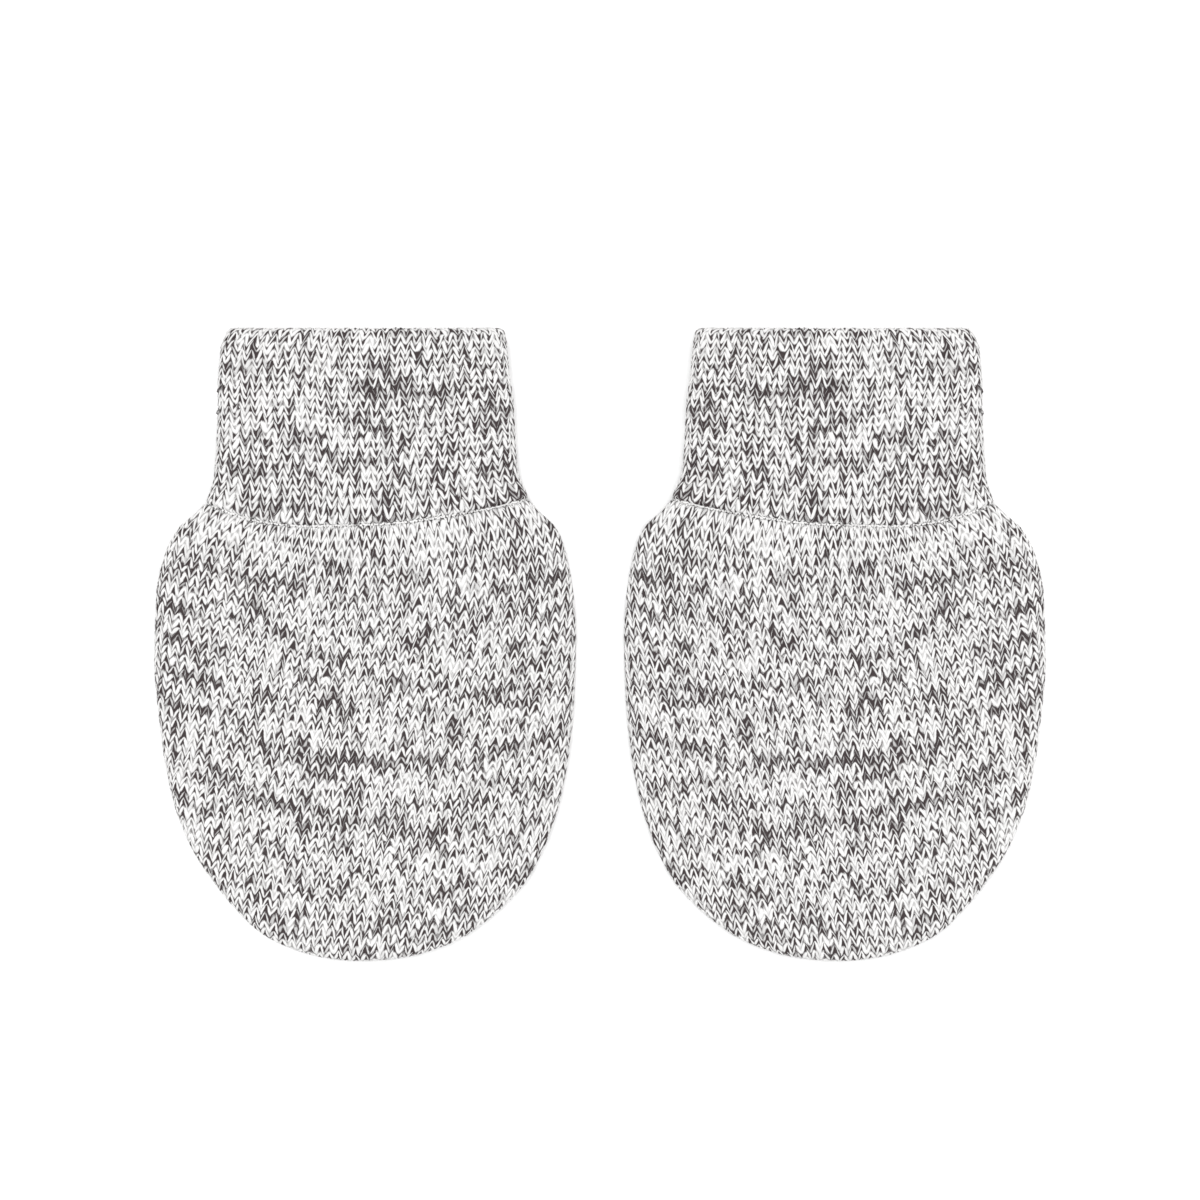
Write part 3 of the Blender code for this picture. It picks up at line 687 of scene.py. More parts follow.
@dataclass
class HandPanel:
    """A front or back hand panel: one layer of jersey, rolled round its edge and closed underneath."""

    plan: MittenPlan
    gauge: KnitGauge
    yarn: Heather
    wales: tuple[int, int] = (-26, 31)
    bands: tuple[int, int] = (-4, 62)
    gathered: float = 1.52  # wale width at the seam
    pitch_spread: float = 7.0  # reach of that gathering
    lean: float = 0.13  # of the wales, for each step down
    lean_from: float = 8.0  # reach over which the lean sets in
    smile: float = 0.0042  # rise of the courses to the sides
    smile_middle: float = 1.5  # where they lie lowest
    long_first: float = 2.2  # extra length of the first courses
    long_fade: float = 2.5  # how many of them have most of it
    seam_middle: float = 37.4  # how far down the first course lies
    seam_cuts: float = 1.0  # length that the seam takes in
    seam_fade: float = 9.0  # how far down the courses follow the seam's curve
    skirt_inset: float = 1.6  # where the turned-in edge meets the inner face
    gather_reach: float = 4.0  # how far down the wales stay bunched
    pucker: float = 0.10  # height of the small gathers below the seam
    pucker_wales: float = 3.4  # from one gather to the next
    pucker_drift: tuple[float, float] = (1.7, 4.0)  # how far they drift, over so many wales
    pucker_reach: float = 7.0  # how far down they fade
    pucker_from: tuple[float, float] = (1.5, 2.0)  # full height so far from the seam and the edge
    wave: float = 0.12  # unevenness of the flat cloth
    wave_size: tuple[float, float] = (17.0, 21.0)  # across and down
    wave_from: float = 6.0  # full height so far from the edge
    sway: float = 0.28  # how far wales and courses stray
    sway_rate: tuple[float, float] = (1 / 6, 1 / 7)  # changes to a wale and to a band
    jitter: float = 0.24  # how far stitches stray
    jitter_rate: tuple[float, float] = (1.3, 1.1)
    stray: float = 0.35  # courses that a wale strays along itself
    stray_wales: float = 2.5  # from one stray wale to the next
    upright: float = 0.6  # share of the edge's drop up to which the cloth can't lean over
    deep: float = 0.7  # share of it past which stitches are flatter
    deep_relief: float = 0.6  # relief there, as a share

    def __post_init__(self) -> None:
        """Lays out the panel's grid in the plan, which both its faces share."""
        wale, band = self.wale, self.band = self.gauge.grid(self.wales, self.bands)
        stray = self.stray * soft_noise(wale / self.stray_wales, 0 * band, Seed.HAND_STRAY)
        flat = np.stack(self.lie(wale, self.gauge.course_of(wale, band) + stray), axis=2)
        for size, (u, v), seed in ((self.jitter, self.jitter_rate, Seed.HAND_JITTER),
                                   (self.sway, self.sway_rate, Seed.HAND_SWAY)):
            flat[..., 0] += size * soft_noise(wale * u, band * v, seed)
            flat[..., 1] += size * soft_noise(wale * v, band * u, seed + 1)
        self.flat = flat.reshape(-1, 2)
        self.fit = self.plan.fit(self.flat)

    def lie(self, wale: Array, course: Array) -> Pair:
        """Where a place in the knitting lies in the plan.

        The wales are gathered at the seam and spread exponentially below it, and lean outwards. The
        courses rise to the sides as a parabola, and near the seam they follow its own curve.

        Args:
            wale: Wales from the centre line.
            course: Courses below the seam.

        Returns:
            Across and down.
        """
        below = course * self.gauge.course + self.long_first * (1.0 - fade(course, self.long_fade))
        pitch = self.gauge.wale - (self.gauge.wale - self.gathered) * fade(below, self.pitch_spread)
        leaning = below - self.lean_from * (1.0 - fade(below, self.lean_from))
        across = pitch * wale - self.lean * np.maximum(leaning, 0.0)
        end = np.clip(across, CUFF_SEAM[0].across, CUFF_SEAM[-1].across)
        apart = self.plan.seam_down(end) - self._first_course(end)
        down = self._first_course(across) + below - self.seam_cuts
        return across, down + apart * fade(below, self.seam_fade)

    def _first_course(self, across: Array) -> Array:
        """How far down the first course lies, away from the seam's own curve: a parabola."""
        return self.seam_middle - self.smile * (across - self.smile_middle) ** 2

    def leg_place(self, wale: Array, band: Array) -> Pair:
        """How far across the middle of a leg lies, and how far below the curve of the first course."""
        across, down = self.lie(wale, self.gauge.course_of(wale, band))
        return across, down - self._first_course(across)

    def _streaks(self) -> tuple[Streak, ...]:
        """The hand's streaks, each as far below the curve of the first course and on the nearest leg."""
        legs = self.leg_place(*leg_middles(self.wales, self.bands))
        below = (s._replace(down=s.down - float(self._first_course(s.across))) for s in HAND_STREAKS)
        return tuple(s.on_course(*legs) for s in below)

    def _top(self, turned: Array) -> Array:
        """Height of the front's outer face before its edge turns over.

        It is the allowance ridge, soft waves, and gathers: a cosine of the wale that fades below the seam.

        Args:
            turned: Where the points lie in the plan.

        Returns:
            The height at each point.
        """
        inset, side, seam = np.array(ALLOWANCE_RIDGE).T
        inside, from_seam, wale = self.fit.inside, self.fit.from_seam, self.wale.ravel()
        ridge = np.maximum(np.interp(inside, inset, side), np.interp(from_seam, inset, seam))
        wave = self.wave * ease(inside, 0.0, self.wave_from)
        wave = wave * soft_noise(*(turned / self.wave_size).T, Seed.HAND_WAVE)
        drift, wales = self.pucker_drift
        drift = drift * soft_noise(wale / wales, 0 * wale, Seed.PUCKER)
        gather = np.cos(2 * math.pi * wale / self.pucker_wales + drift)
        below, within = self.pucker_from
        reach = fade(from_seam, self.pucker_reach) * ease(from_seam, 0.0, below) * ease(inside, 0.0, within)
        return ridge + wave + self.pucker * gather * reach

    def shell(self, facing: Facing) -> Shell:
        """The panel's closed cloth.

        The flat grid turns over at its edge by a mix of the side's and the seam's profile, falls by
        the share of their drop, and the stitches stand on it along its normals.

        Args:
            facing: Front or back.

        Returns:
            The knitted face, its edge turned in and joined to the flat inner face.
        """
        form, seed, fit, shape = facing.value, Seed[facing.name], self.fit, self.wale.shape
        shift, drop, depth, end = (
            side + (seam - side) * fit.seamness
            for side, seam in zip(form.side.turned(fit.inside), form.seam.turned(fit.inside))
        )
        turned, drop = self.flat + fit.inward * shift[:, None], drop / depth
        top = self._top(turned) if facing is Facing.FRONT else 0.0 * drop
        base = np.column_stack([turned, top - drop * (top - form.edge_height)]).reshape(*shape, 3)
        drop = drop.reshape(shape)
        normal = surface_normals(base)
        normal *= np.sign(normal[shape[0] // 2, shape[1] // 2, 2]) * form.up
        normal[(normal[..., 2] * form.up < 0) & (drop < self.upright)] *= -1.0
        gather = fade(fit.from_seam, self.gather_reach).reshape(shape)
        sink = self.gauge.relief * (self.gauge.crest(self.wale, self.band, gather, seed) - 1.0)
        points = base + normal * (sink * np.where(drop > self.deep, self.deep_relief, 1.0))[..., None]
        points[..., 2] = np.maximum(points[..., 2], 0.0)
        streaks = self._streaks() if facing is Facing.FRONT else ()
        dark = self.yarn.darkness(self.wale, self.band, self.leg_place, streaks, seed)
        known = np.stack([*np.moveaxis(points, 2, 0), self.wale, self.band, dark, gather], axis=2)
        return self._cut_out(known.reshape(-1, 7), fit.inside > end, form.inner_height)

    def _cut_out(self, known: Array, reached: Array, inner_height: float) -> Shell:
        """Keeps the part of the grid that the cloth reaches and joins its edge to the inner face.

        Args:
            known: Each grid point's place, wale, band, darkness and gathering.
            reached: Which of them the cloth reaches.
            inner_height: Height of the inner face.

        Returns:
            The shell, open only where the flat inner face closes it.
        """
        index, kept = np.arange(len(known)).reshape(self.wale.shape), reached.reshape(self.wale.shape)
        cell = without_pinches(kept[:-1, :-1] & kept[:-1, 1:] & kept[1:, :-1] & kept[1:, 1:])
        faces = np.stack([index[:-1, :-1], index[:-1, 1:], index[1:, 1:], index[1:, :-1]], axis=2)[cell]
        rim = open_edges(faces)
        at, copy = np.unique(rim, return_inverse=True)
        skirt = known[at]
        inset = self.skirt_inset - self.fit.inside[at]
        skirt[:, :2], skirt[:, 2] = self.flat[at] + self.fit.inward[at] * inset[:, None], inner_height
        faces = np.vstack([faces, np.hstack([rim[:, ::-1], copy.reshape(rim.shape) + len(known)])])
        used, faces = np.unique(faces, return_inverse=True)
        known = np.vstack([known, skirt])[used]
        return Shell(known[:, :3], faces.reshape(-1, 4), known[:, 3:5], known[:, 5], known[:, 6])


def without_pinches(cell: Array) -> Array:
    """Drops grid cells that touch the rest only at a corner, so that the edge is one clean line.

    Args:
        cell: Which cells the cloth has.

    Returns:
        Which of them stay.
    """
    cell = cell.copy()
    while True:
        a, b, c, d = cell[:-1, :-1], cell[:-1, 1:], cell[1:, :-1], cell[1:, 1:]
        falling, rising = a & d & ~b & ~c, b & c & ~a & ~d
        if not (falling | rising).any():
            break
        cell[1:, 1:][falling] = False
        cell[1:, :-1][rising] = False
    beside = np.pad(cell, 1)
    return cell & (beside[:-2, 1:-1] | beside[2:, 1:-1] | beside[1:-1, :-2] | beside[1:-1, 2:])


def open_edges(faces: Array) -> Array:
    """Edges that only one face has, each as (from, to) in that face's own turn."""
    edges = np.concatenate([faces[:, [k, (k + 1) % 4]] for k in range(4)])
    _, first, count = np.unique(np.sort(edges, axis=1), axis=0, return_index=True, return_counts=True)
    return edges[first[count == 1]]


@dataclass
class CuffBand:
    """The cuff: a flat tube of jersey that folds over at the wrist and runs back down inside."""

    plan: MittenPlan
    gauge: KnitGauge
    yarn: Heather
    wales: int = 58
    girth: float = 120.0  # way round the tube
    courses: int = 25  # from the top of the fold to the seam
    gather_reach: float = 9.0  # how far above the seam the wales stay bunched
    least_gather: float = 0.45  # how tight they are elsewhere
    long_last: float = 0.8  # extra length of the last courses
    long_reach: float = 4.0  # how many of them have most of it
    inside_courses: int = 5  # that show inside the opening
    plain_rows: int = 10  # further down inside, where nothing shows
    plain_height: float = 0.8  # of the yarn there
    plain_dark: float = 0.35  # share of dark fibre there
    edge_round: float = 0.6  # reach of the rounded lower edge
    edge_inset: float = 0.3  # how far it turns in
    hidden: float = 3.6  # run of cloth turned in at the seam
    shows_from: tuple[float, float] = (-0.25, -0.15)  # runs over which the stitches begin, inside,
    shows_to: tuple[float, float] = (1.06, 1.01)  # and over which they end at the seam
    wave: float = 0.10  # unevenness of the flat cloth
    wave_rate: tuple[float, float] = (12.0, 2.2)  # changes all the way round and down
    wave_heights: tuple[float, float] = (2.0, 3.0)  # heights over which it begins,
    wave_from: tuple[float, float] = (-0.05, 0.05)  # and runs over which it begins at the fold
    wave_to: tuple[float, float] = (1.0, 0.8)  # and ends at the seam
    jitter: float = 0.30  # how far stitches stray sideways
    jitter_rate: tuple[float, float] = (1.1, 1.3)  # changes to a wale and to a band
    stray: float = 0.4  # courses that a wale strays along itself
    stray_wales: float = 2.5  # from one stray wale to the next
    nowhere: float = -99.0  # where legs of the back wall are said to lie

    def __post_init__(self) -> None:
        """Measures the fold's run and the outer wall's length."""
        self.sizes = self.plan.sizes
        self.lip_run = math.pi * self.sizes.cuff_wall / 2
        self.length = CUFF_SECTIONS[-1].down - self.sizes.cuff_lip

    @staticmethod
    def section(turn: Array, outer: Array, inner: Array, low: Array, high: Array) -> Pair:
        """A point of the flattened tube: two half rounds joined by a flat front and a flat back.

        Args:
            turn: Share of the way round, from the middle of the inner fold and over the front.
            outer: Reach to the outer side.
            inner: Reach to the inner side.
            low: Height of the back.
            high: Height of the front.

        Returns:
            Across and height.
        """
        radius = (high - low) / 2
        half, flat = math.pi * radius, outer + inner - 2 * radius
        run = (2 * (half + flat) * turn + half / 2) % (2 * (half + flat))
        slid = np.clip(run - half, 0.0, flat) - np.clip(run - 2 * half - flat, 0.0, flat)
        angle = (np.clip(run, 0.0, half) + np.clip(run - half - flat, 0.0, half)) / radius - math.pi / 2
        return inner - radius - slid + radius * np.cos(angle), (high + low) / 2 + radius * np.sin(angle)

    def walls(self, turn: Array, share: Array) -> Pair:
        """Points of the outer and inner wall, which settle by a soft step and end at the slanting seam.

        Args:
            turn: Share of the way round.
            share: Share of the way down, from the fold to the seam.

        Returns:
            The outer and the inner wall's points.
        """
        s = self.sizes
        settle = ease(share, s.cuff_drop_from)
        back, front, slot = (start + (end - start) * settle for start, end in (
            (s.cuff_wall, s.layer), (s.cuff_wall, s.cuff_seam_front), (s.cuff_slot, s.seam_gap)))
        outer, inner = self.plan.cuff_reach(s.cuff_lip + share * self.length)
        found = []
        for inset, low, high in ((0.0, 0.0 * back, back + slot + front), (s.cuff_wall, back, back + slot)):
            across, height = self.section(turn, outer - inset, inner - inset, low, high)
            bottom = self.plan.seam_down(across) - self.plan.seam_space
            found.append(np.stack([across, s.cuff_lip + share * (bottom - s.cuff_lip), height], axis=-1))
        return tuple(found)

    def place(self, turn: Array, run: Array) -> Array:
        """A point of the folded band: a half ellipse over the fold, a quarter round and a line at the seam.

        Args:
            turn: Share of the way round.
            run: From 0 to 1 down the outer wall, past 1 in along the hidden face, below 0 over the fold
                and then down the inner wall, in shares of the wall's length.

        Returns:
            Across, down and height.
        """
        wall, lip = self.sizes.cuff_wall, self.lip_run / self.length
        outer, inner = self.walls(turn, np.clip(np.maximum(run, -run - lip), 0.0, 1.0))
        to_end = (1.0 - run) * self.length
        bend = np.clip(1.0 - to_end / self.edge_round, 0.0, 1.0)
        inset = self.edge_inset * (1.0 - np.sqrt(1.0 - bend**2))
        inset = inset + (wall - self.edge_inset) * np.clip(-to_end / self.hidden, 0.0, 1.0)
        angle = np.clip(-run / lip, 0.0, 1.0) * math.pi
        spot = outer + (inner - outer) * (inset / wall + (1.0 - np.cos(angle)) / 2)[..., None]
        spot[..., 1] -= self.sizes.cuff_lip * np.sin(angle)
        return spot

    def run_of(self, course: Array) -> Array:
        """The run at a course: even steps from the middle of the fold, longer near the seam."""
        even = course * (self.length + self.lip_run / 2 - self.long_last) / self.courses
        longer = self.long_last * np.exp((course - self.courses) / self.long_reach)
        return (even + longer - self.lip_run / 2) / self.length

    def leg_place(self, wale: Array, band: Array) -> Pair:
        """Where the middle of a leg lies in the plan, and far away for legs of the back wall."""
        across, down, height = np.moveaxis(self.place(
            wale % self.wales / self.wales, self.run_of(self.gauge.course_of(wale, band))), -1, 0)
        return across, np.where(height > self.sizes.cuff_wall, down, self.nowhere)

    def shell(self) -> Shell:
        """The cuff's closed cloth.

        Returns:
            One ring-shaped surface: outer wall, fold, inner wall and the edge hidden in the seam.
        """
        gauge = self.gauge
        wale, band = gauge.grid((0, self.wales), (-self.inside_courses, self.courses + 1))
        wale, band = wale[:, :-1], band[:, :-1]
        loose = ease(wale) * ease(self.wales - wale)
        stray = self.stray * soft_noise(wale / self.stray_wales, 0 * band, Seed.CUFF_STRAY) * loose
        run = self.run_of(gauge.course_of(wale, band) + stray)
        u, v = self.jitter_rate
        jitter = self.jitter / self.girth * soft_noise(wale * u, band * v, Seed.CUFF_JITTER)
        turn = wale / self.wales + jitter * loose

        def after_plain(plain: Array | float, rows: Array) -> Array:
            """The rows, after the plain ones of the inner wall."""
            return np.vstack([np.broadcast_to(plain, (self.plain_rows, rows.shape[1])), rows])

        gather = np.maximum(fade((1.0 - run) * CUFF_SECTIONS[-1].down, self.gather_reach), self.least_gather)
        crest = after_plain(self.plain_height, gauge.crest(wale, band, gather, Seed.CUFF))
        lowest = -1.0 - self.lip_run / CUFF_SECTIONS[-1].down
        run = after_plain(np.linspace(lowest, run[0].min(), self.plain_rows, endpoint=False)[:, None], run)
        turn = after_plain(turn[0], turn)
        base = self.place(turn, run)
        normal = surface_normals(base, wraps=True)
        row = self.plain_rows + self.courses // 2 * len(gauge.rows)
        normal *= np.sign(normal[row, wale.shape[1] // 4, 2])
        shows = ease(run, *self.shows_from) * ease(run, *self.shows_to)
        u, v = self.wave_rate
        wave = self.wave * soft_noise(turn * u, run * v, Seed.CUFF_WAVE)
        wave = wave * ease(base[..., 2], *self.wave_heights)
        wave = wave * ease(run, *self.wave_to) * ease(run, *self.wave_from)
        points = base + normal * (gauge.relief * (crest - 1.0) * shows + wave)[..., None]
        points[..., 2] = np.maximum(points[..., 2], 0.0)
        legs = self.leg_place(*leg_middles((0, self.wales // 2), (0, self.courses)))
        streaks = tuple(streak.on_course(*legs) for streak in CUFF_STREAKS)
        dark = self.yarn.darkness(wale, band, self.leg_place, streaks, Seed.CUFF)
        knit = np.stack([after_plain(wale[0], wale), -after_plain(band.min(), band)], axis=2)
        return Shell(points.reshape(-1, 3), ring_faces(*run.shape), knit.reshape(-1, 2),
                     after_plain(self.plain_dark, dark).ravel(), after_plain(0.0, gather).ravel())


@dataclass
class SeamThread:
    """The light linking thread that lies in the groove between cuff and hand, all the way round."""

    cuff: CuffBand
    radius: float = 0.25
    depth: float = 0.58  # how far the thread's middle lies below the cuff's face
    steps: int = 860  # all the way round
    sides: int = 8
    ply_depth: float = 0.16  # how deep the two strands' furrow is, as a share of the radius
    ply_turn: float = 1.3  # length of one turn of the strands
    sway: float = 0.12  # how far the thread strays to either side
    sways: tuple[int, int] = (97, 31)  # how often, on its way round
    stitch: float = 1.1  # length of thread that shows as one stitch
    darkness: float = 0.42  # share of dark fibre in it
    dark_length: float = 3.0  # of a darker or lighter stretch

    def shell(self) -> Shell:
        """The closed thread: round its line a radius R (1 + p cos (2a - t)), as of two wound strands.

        Here a is the place round the line, which follows the cuff's edge, and t turns evenly along it.

        Returns:
            A ring-shaped surface.
        """
        turn = np.arange(self.steps) / self.steps
        outer, inner = self.cuff.walls(turn, np.ones(self.steps))
        line = outer + (inner - outer) * (self.depth / self.cuff.sizes.cuff_wall)
        sine, cosine = (2 * math.pi * turn * count for count in self.sways)
        line[:, 1] = self.cuff.plan.seam_down(line[:, 0]) + self.sway * np.sin(sine) * np.cos(cosine)
        along, out = unit(across_gap(line)), outer - inner
        out = unit(out - along * (out * along).sum(axis=1)[:, None])
        run = run_length(line)
        wound = 2 * math.pi * round(run[-1] / self.ply_turn) * turn[:, None]
        share = np.arange(self.sides)[None, :] / self.sides
        angle = (share - 0.5) * 2 * math.pi
        radius = self.radius * (1.0 + self.ply_depth * np.cos(2 * angle - wound))
        beside = np.cross(along, out)
        points = line[:, None] + sum(axis[:, None] * (radius * wave)[..., None] for axis, wave in (
            (out, np.cos(angle)), (beside, np.sin(angle))))
        run = run[:, None]
        knit = np.stack(np.broadcast_arrays(run / self.stitch, share), axis=2).reshape(-1, 2)
        patches = soft_noise(run / self.dark_length, angle, Seed.THREAD)
        patches = patches + soft_noise(run, angle, Seed.THREAD + 1)
        dark = (0.5 * self.darkness * (2.0 + patches)).ravel()
        return Shell(points.reshape(-1, 3), ring_faces(self.steps, self.sides), knit, dark, 0 * dark)


@dataclass(frozen=True)
class JerseyFinish:
    """Heather jersey: white and charcoal fibres spun into one soft yarn."""

    name: str
    light: tuple[float, float, float] = (0.785, 0.78, 0.775)
    dark: tuple[float, float, float] = (0.029, 0.0185, 0.0195)
    roughness: float = 0.95
    sheen: float = 0.04
    specular: float = 0.2
    bump: float = 0.6
    bump_depth: float = 0.12 * MM

    def material(self) -> bpy.types.Material:
        """Builds the shader: the yarn group's colour and bump on a soft matt cloth.

        Returns:
            The new material.
        """
        material = bpy.data.materials.new(self.name)
        material.use_nodes = True
        tree = material.node_tree
        shader = tree.nodes["Principled BSDF"]
        yarn, knit, bump = (tree.nodes.new(f"ShaderNode{kind}") for kind in ("Group", "UVMap", "Bump"))
        yarn.node_tree = YarnGroup.get()
        knit.uv_map = "knit"
        for label in ("heather", "gather"):
            attribute = tree.nodes.new("ShaderNodeAttribute")
            attribute.attribute_name = label
            tree.links.new(attribute.outputs["Fac"], yarn.inputs[label.capitalize()])
        tree.links.new(knit.outputs["UV"], yarn.inputs["Knit"])
        tree.links.new(yarn.outputs["Color"], shader.inputs["Base Color"])
        tree.links.new(yarn.outputs["Height"], bump.inputs["Height"])
        tree.links.new(bump.outputs["Normal"], shader.inputs["Normal"])
        for node, name, value in (
            (yarn, "Light", (*self.light, 1.0)), (yarn, "Dark", (*self.dark, 1.0)),
            (bump, "Strength", self.bump), (bump, "Distance", self.bump_depth),
            (shader, "Roughness", self.roughness), (shader, "Sheen Weight", self.sheen),
            (shader, "Specular IOR Level", self.specular),
        ):
            node.inputs[name].default_value = value
        return material


class Ramp(NamedTuple):
    """A step from one value to another as its input goes from low to high, soft unless straight."""

    low: Value | float
    high: float
    start: float = 0.0
    end: float = 1.0
    straight: bool = False


@dataclass(frozen=True)
class Value:
    """A value in a node tree. Arithmetic with it adds Math nodes."""

    tree: bpy.types.NodeTree
    socket: bpy.types.NodeSocket

    def node(self, kind: str, *inputs: Value | float, **settings: str) -> Value:
        """Adds a node.

        Args:
            kind: Its type.
            inputs: What its first sockets are linked or set to.
            settings: Its properties.

        Returns:
            Its first output.
        """
        node = self.tree.nodes.new(f"ShaderNode{kind}")
        for name, setting in settings.items():
            setattr(node, name, setting)
        for socket, value in zip(node.inputs, inputs):
            if isinstance(value, Value):
                self.tree.links.new(value.socket, socket)
            else:
                socket.default_value = value
        return Value(self.tree, node.outputs[0])

    def math(self, operation: str, other: Value | float = 0.0) -> Value:
        """One Math node."""
        return self.node("Math", self, other, operation=operation)

    __add__ = partialmethod(math, "ADD")
    __sub__ = partialmethod(math, "SUBTRACT")
    __mul__ = partialmethod(math, "MULTIPLY")
    __abs__ = partialmethod(math, "ABSOLUTE")

    def ramp(self, ramp: Ramp) -> Value:
        """One Map Range node."""
        kind = "LINEAR" if ramp.straight else "SMOOTHSTEP"
        return self.node("MapRange", self, *ramp[:4], interpolation_type=kind)

    def at(self, y: Value | float, z: Value | float = 0.0) -> Value:
        """A vector from this value and two more."""
        return self.node("CombineXYZ", self, y, z)

    def random(self) -> Value:
        """A random value for each vector."""
        return self.node("TexWhiteNoise", self, noise_dimensions="3D")

    def noise(self, scale: float = 1.0, detail: float = 1.0) -> Value:
        """Smooth noise at each vector."""
        return self.node("TexNoise", self, 0.0, scale, detail)


class YarnGroup:
    """The heather yarn's node group: a white and a charcoal strand wound round each other, with painted
    shade in the gaps between the legs.

    Its Knit input holds wale and band. Whole numbers of half wales and bands name one leg of a stitch,
    and the fractions say where on the leg a place lies.
    """

    NAME = "heather_yarn_and_gap_shade"
    INPUTS = {"Knit": "Vector", "Heather": "Float", "Gather": "Float", "Light": "Color", "Dark": "Color"}
    WANDER_ACROSS, WANDER_DOWN = (1.6, 0.32), (1.3, 0.64)  # how fast and how far the legs' sides wander
    CHANCES = 0.0, 5.0, 9.0, 13.0  # planes of the random numbers
    FIBRES, FIBRE_NOISE = (2.0, 7.0), (2.0, 3.0)  # rates along and across a leg, scale and detail
    DRIFT, RUN = (0.2, 0.9, 3.0), (0.22, 21.0)  # rates and planes of the slow changes
    # The leg's darkness.
    STEADY = Ramp(0.5, 1.0, 1.1, 0.4)
    SCATTER, WHITER = 0.6, Ramp(0.80, 0.96, -0.34, -0.10)
    WHOLE = Ramp(0.0, 1.0, straight=True)
    # The white strand: its ends, its line and its half width, in bands.
    APEX, FOOT, GATHERED_FOOT = Ramp(0.52, 1.0), 0.32, 0.3
    SKEW, ARCH = 0.8, -0.16
    LOWER = Ramp(0.0, 0.45, 0.10, 0.0, True)
    WIDTH = Ramp(0.0, 1.0, 0.45, 0.17, True)
    FULLER = Ramp(0.0, 0.45, 0.015, 0.045, True)
    MOST = Ramp(0.0, 0.45, 0.44, 0.49, True)
    FINER = Ramp(0.4, 0.8, 0.13, 0.04, True)
    BY_CHANCE, FINER_BY_CHANCE, FINER_APEX, FRAYED = 0.12, 0.18, 0.23, 0.22
    # The furrow between gathered wales: the strand narrows there, so the gap's painted shade shows as a dark
    # line.
    FURROW, FURROW_FRAYED = Ramp(0.03, 0.15, 0.42, 0.0), 0.3
    FURROW_GATHER = Ramp(0.38, 0.85, straight=True)
    # The gap between the strands, painted darker: partly painted shade where the legs part, partly the dark
    # fibres.
    BESIDE, GAP_CHANCE = Ramp(-0.12, 0.15), 0.12
    ALONG_RUN = Ramp(0.3, 0.7, -0.22, 0.22, True)
    ON_LEG = Ramp(0.12, 0.42, -0.20, 0.0)
    AT_FOOT, AT_SEAM = Ramp(0.0, 0.45, -0.3, 0.0, True), Ramp(0.80, 0.98, 0.0, -0.22)
    SHADE, BY_SHARE, SHADE_FRAYED, OWN = 0.53, 0.6, 0.5, 0.8
    GAP_SHADE_AND_FIBRE = Ramp(0.42, 1.10, 0.30, 0.97)
    # The charcoal strand and the dark and loose fibres.
    SLANT, COVER, UNCOVERED = 0.9, 2.2, -2.0
    EDGE, EDGE_FRAYED = Ramp(-0.12, 0.12), 0.8
    RIDGE, CAUGHT = Ramp(0.05, 0.24, 1.0, 0.0), Ramp(0.40, 0.85, 0.04, 0.50)
    CAUGHT_CHANCE, DARKEST = 0.35, 0.97
    TINT, LOOSE = Ramp(0.2, 1.0, 0.0, 0.42), Ramp(0.55, 0.85, 0.0, 0.3)
    TINT_CHANCE, LEAST_TINT, MOST_DARK = 0.8, 0.4, 0.98
    # The bump: the strand's round top and its fibres.
    HIGH, FIBRE_HIGH = Ramp(-0.35, 0.1, 0.8, 0.0), 0.5

    def __init__(self) -> None:
        """Makes the empty group and its sockets."""
        self.group = bpy.data.node_groups.new(self.NAME, "ShaderNodeTree")
        for name, kind in self.INPUTS.items():
            self.group.interface.new_socket(name, in_out="INPUT", socket_type=f"NodeSocket{kind}")
        for name, kind in (("Color", "Color"), ("Height", "Float")):
            self.group.interface.new_socket(name, in_out="OUTPUT", socket_type=f"NodeSocket{kind}")
        sockets = self.group.nodes.new("NodeGroupInput").outputs
        self.knit, self.share, self.gather, *self.colours = (Value(self.group, s) for s in sockets[:5])

    @classmethod
    def get(cls) -> bpy.types.NodeTree:
        """The group, built the first time it is asked for."""
        return bpy.data.node_groups.get(cls.NAME) or cls().build()

    def build(self) -> bpy.types.NodeTree:
        """Builds the group from its layers: the strand over the gap with its painted shade, the dark strand,
        loose fibres.

        Returns:
            The finished group.
        """
        self._place_on_leg()
        self._darkness()
        self._strand()
        # the gap's darkness is partly painted shade between the legs and partly the dark fibres
        gap, dark = self._gap_shade_and_fibre(), self._dark_strand()
        tint = self.heather.ramp(self.TINT) * (self.chance[1] * self.TINT_CHANCE + self.LEAST_TINT)
        ground = (self.own * self.GAP_CHANCE + self.beyond).ramp(self.BESIDE)
        share = (ground * (gap - tint) + tint).math("MAXIMUM", dark) + self.fibre.ramp(self.LOOSE)
        mix = self.group.nodes.new("ShaderNodeMix")
        mix.data_type = "RGBA"
        target = self.group.nodes.new("NodeGroupOutput")
        height = self.beyond.ramp(self.HIGH) + self.fibre * self.FIBRE_HIGH
        for source, socket in (
            (share.math("MINIMUM", self.MOST_DARK).socket, mix.inputs[0]),
            (self.colours[0].socket, mix.inputs[6]), (self.colours[1].socket, mix.inputs[7]),
            (mix.outputs[2], target.inputs["Color"]), (height.socket, target.inputs["Height"]),
        ):
            self.group.links.new(source, socket)
        return self.group

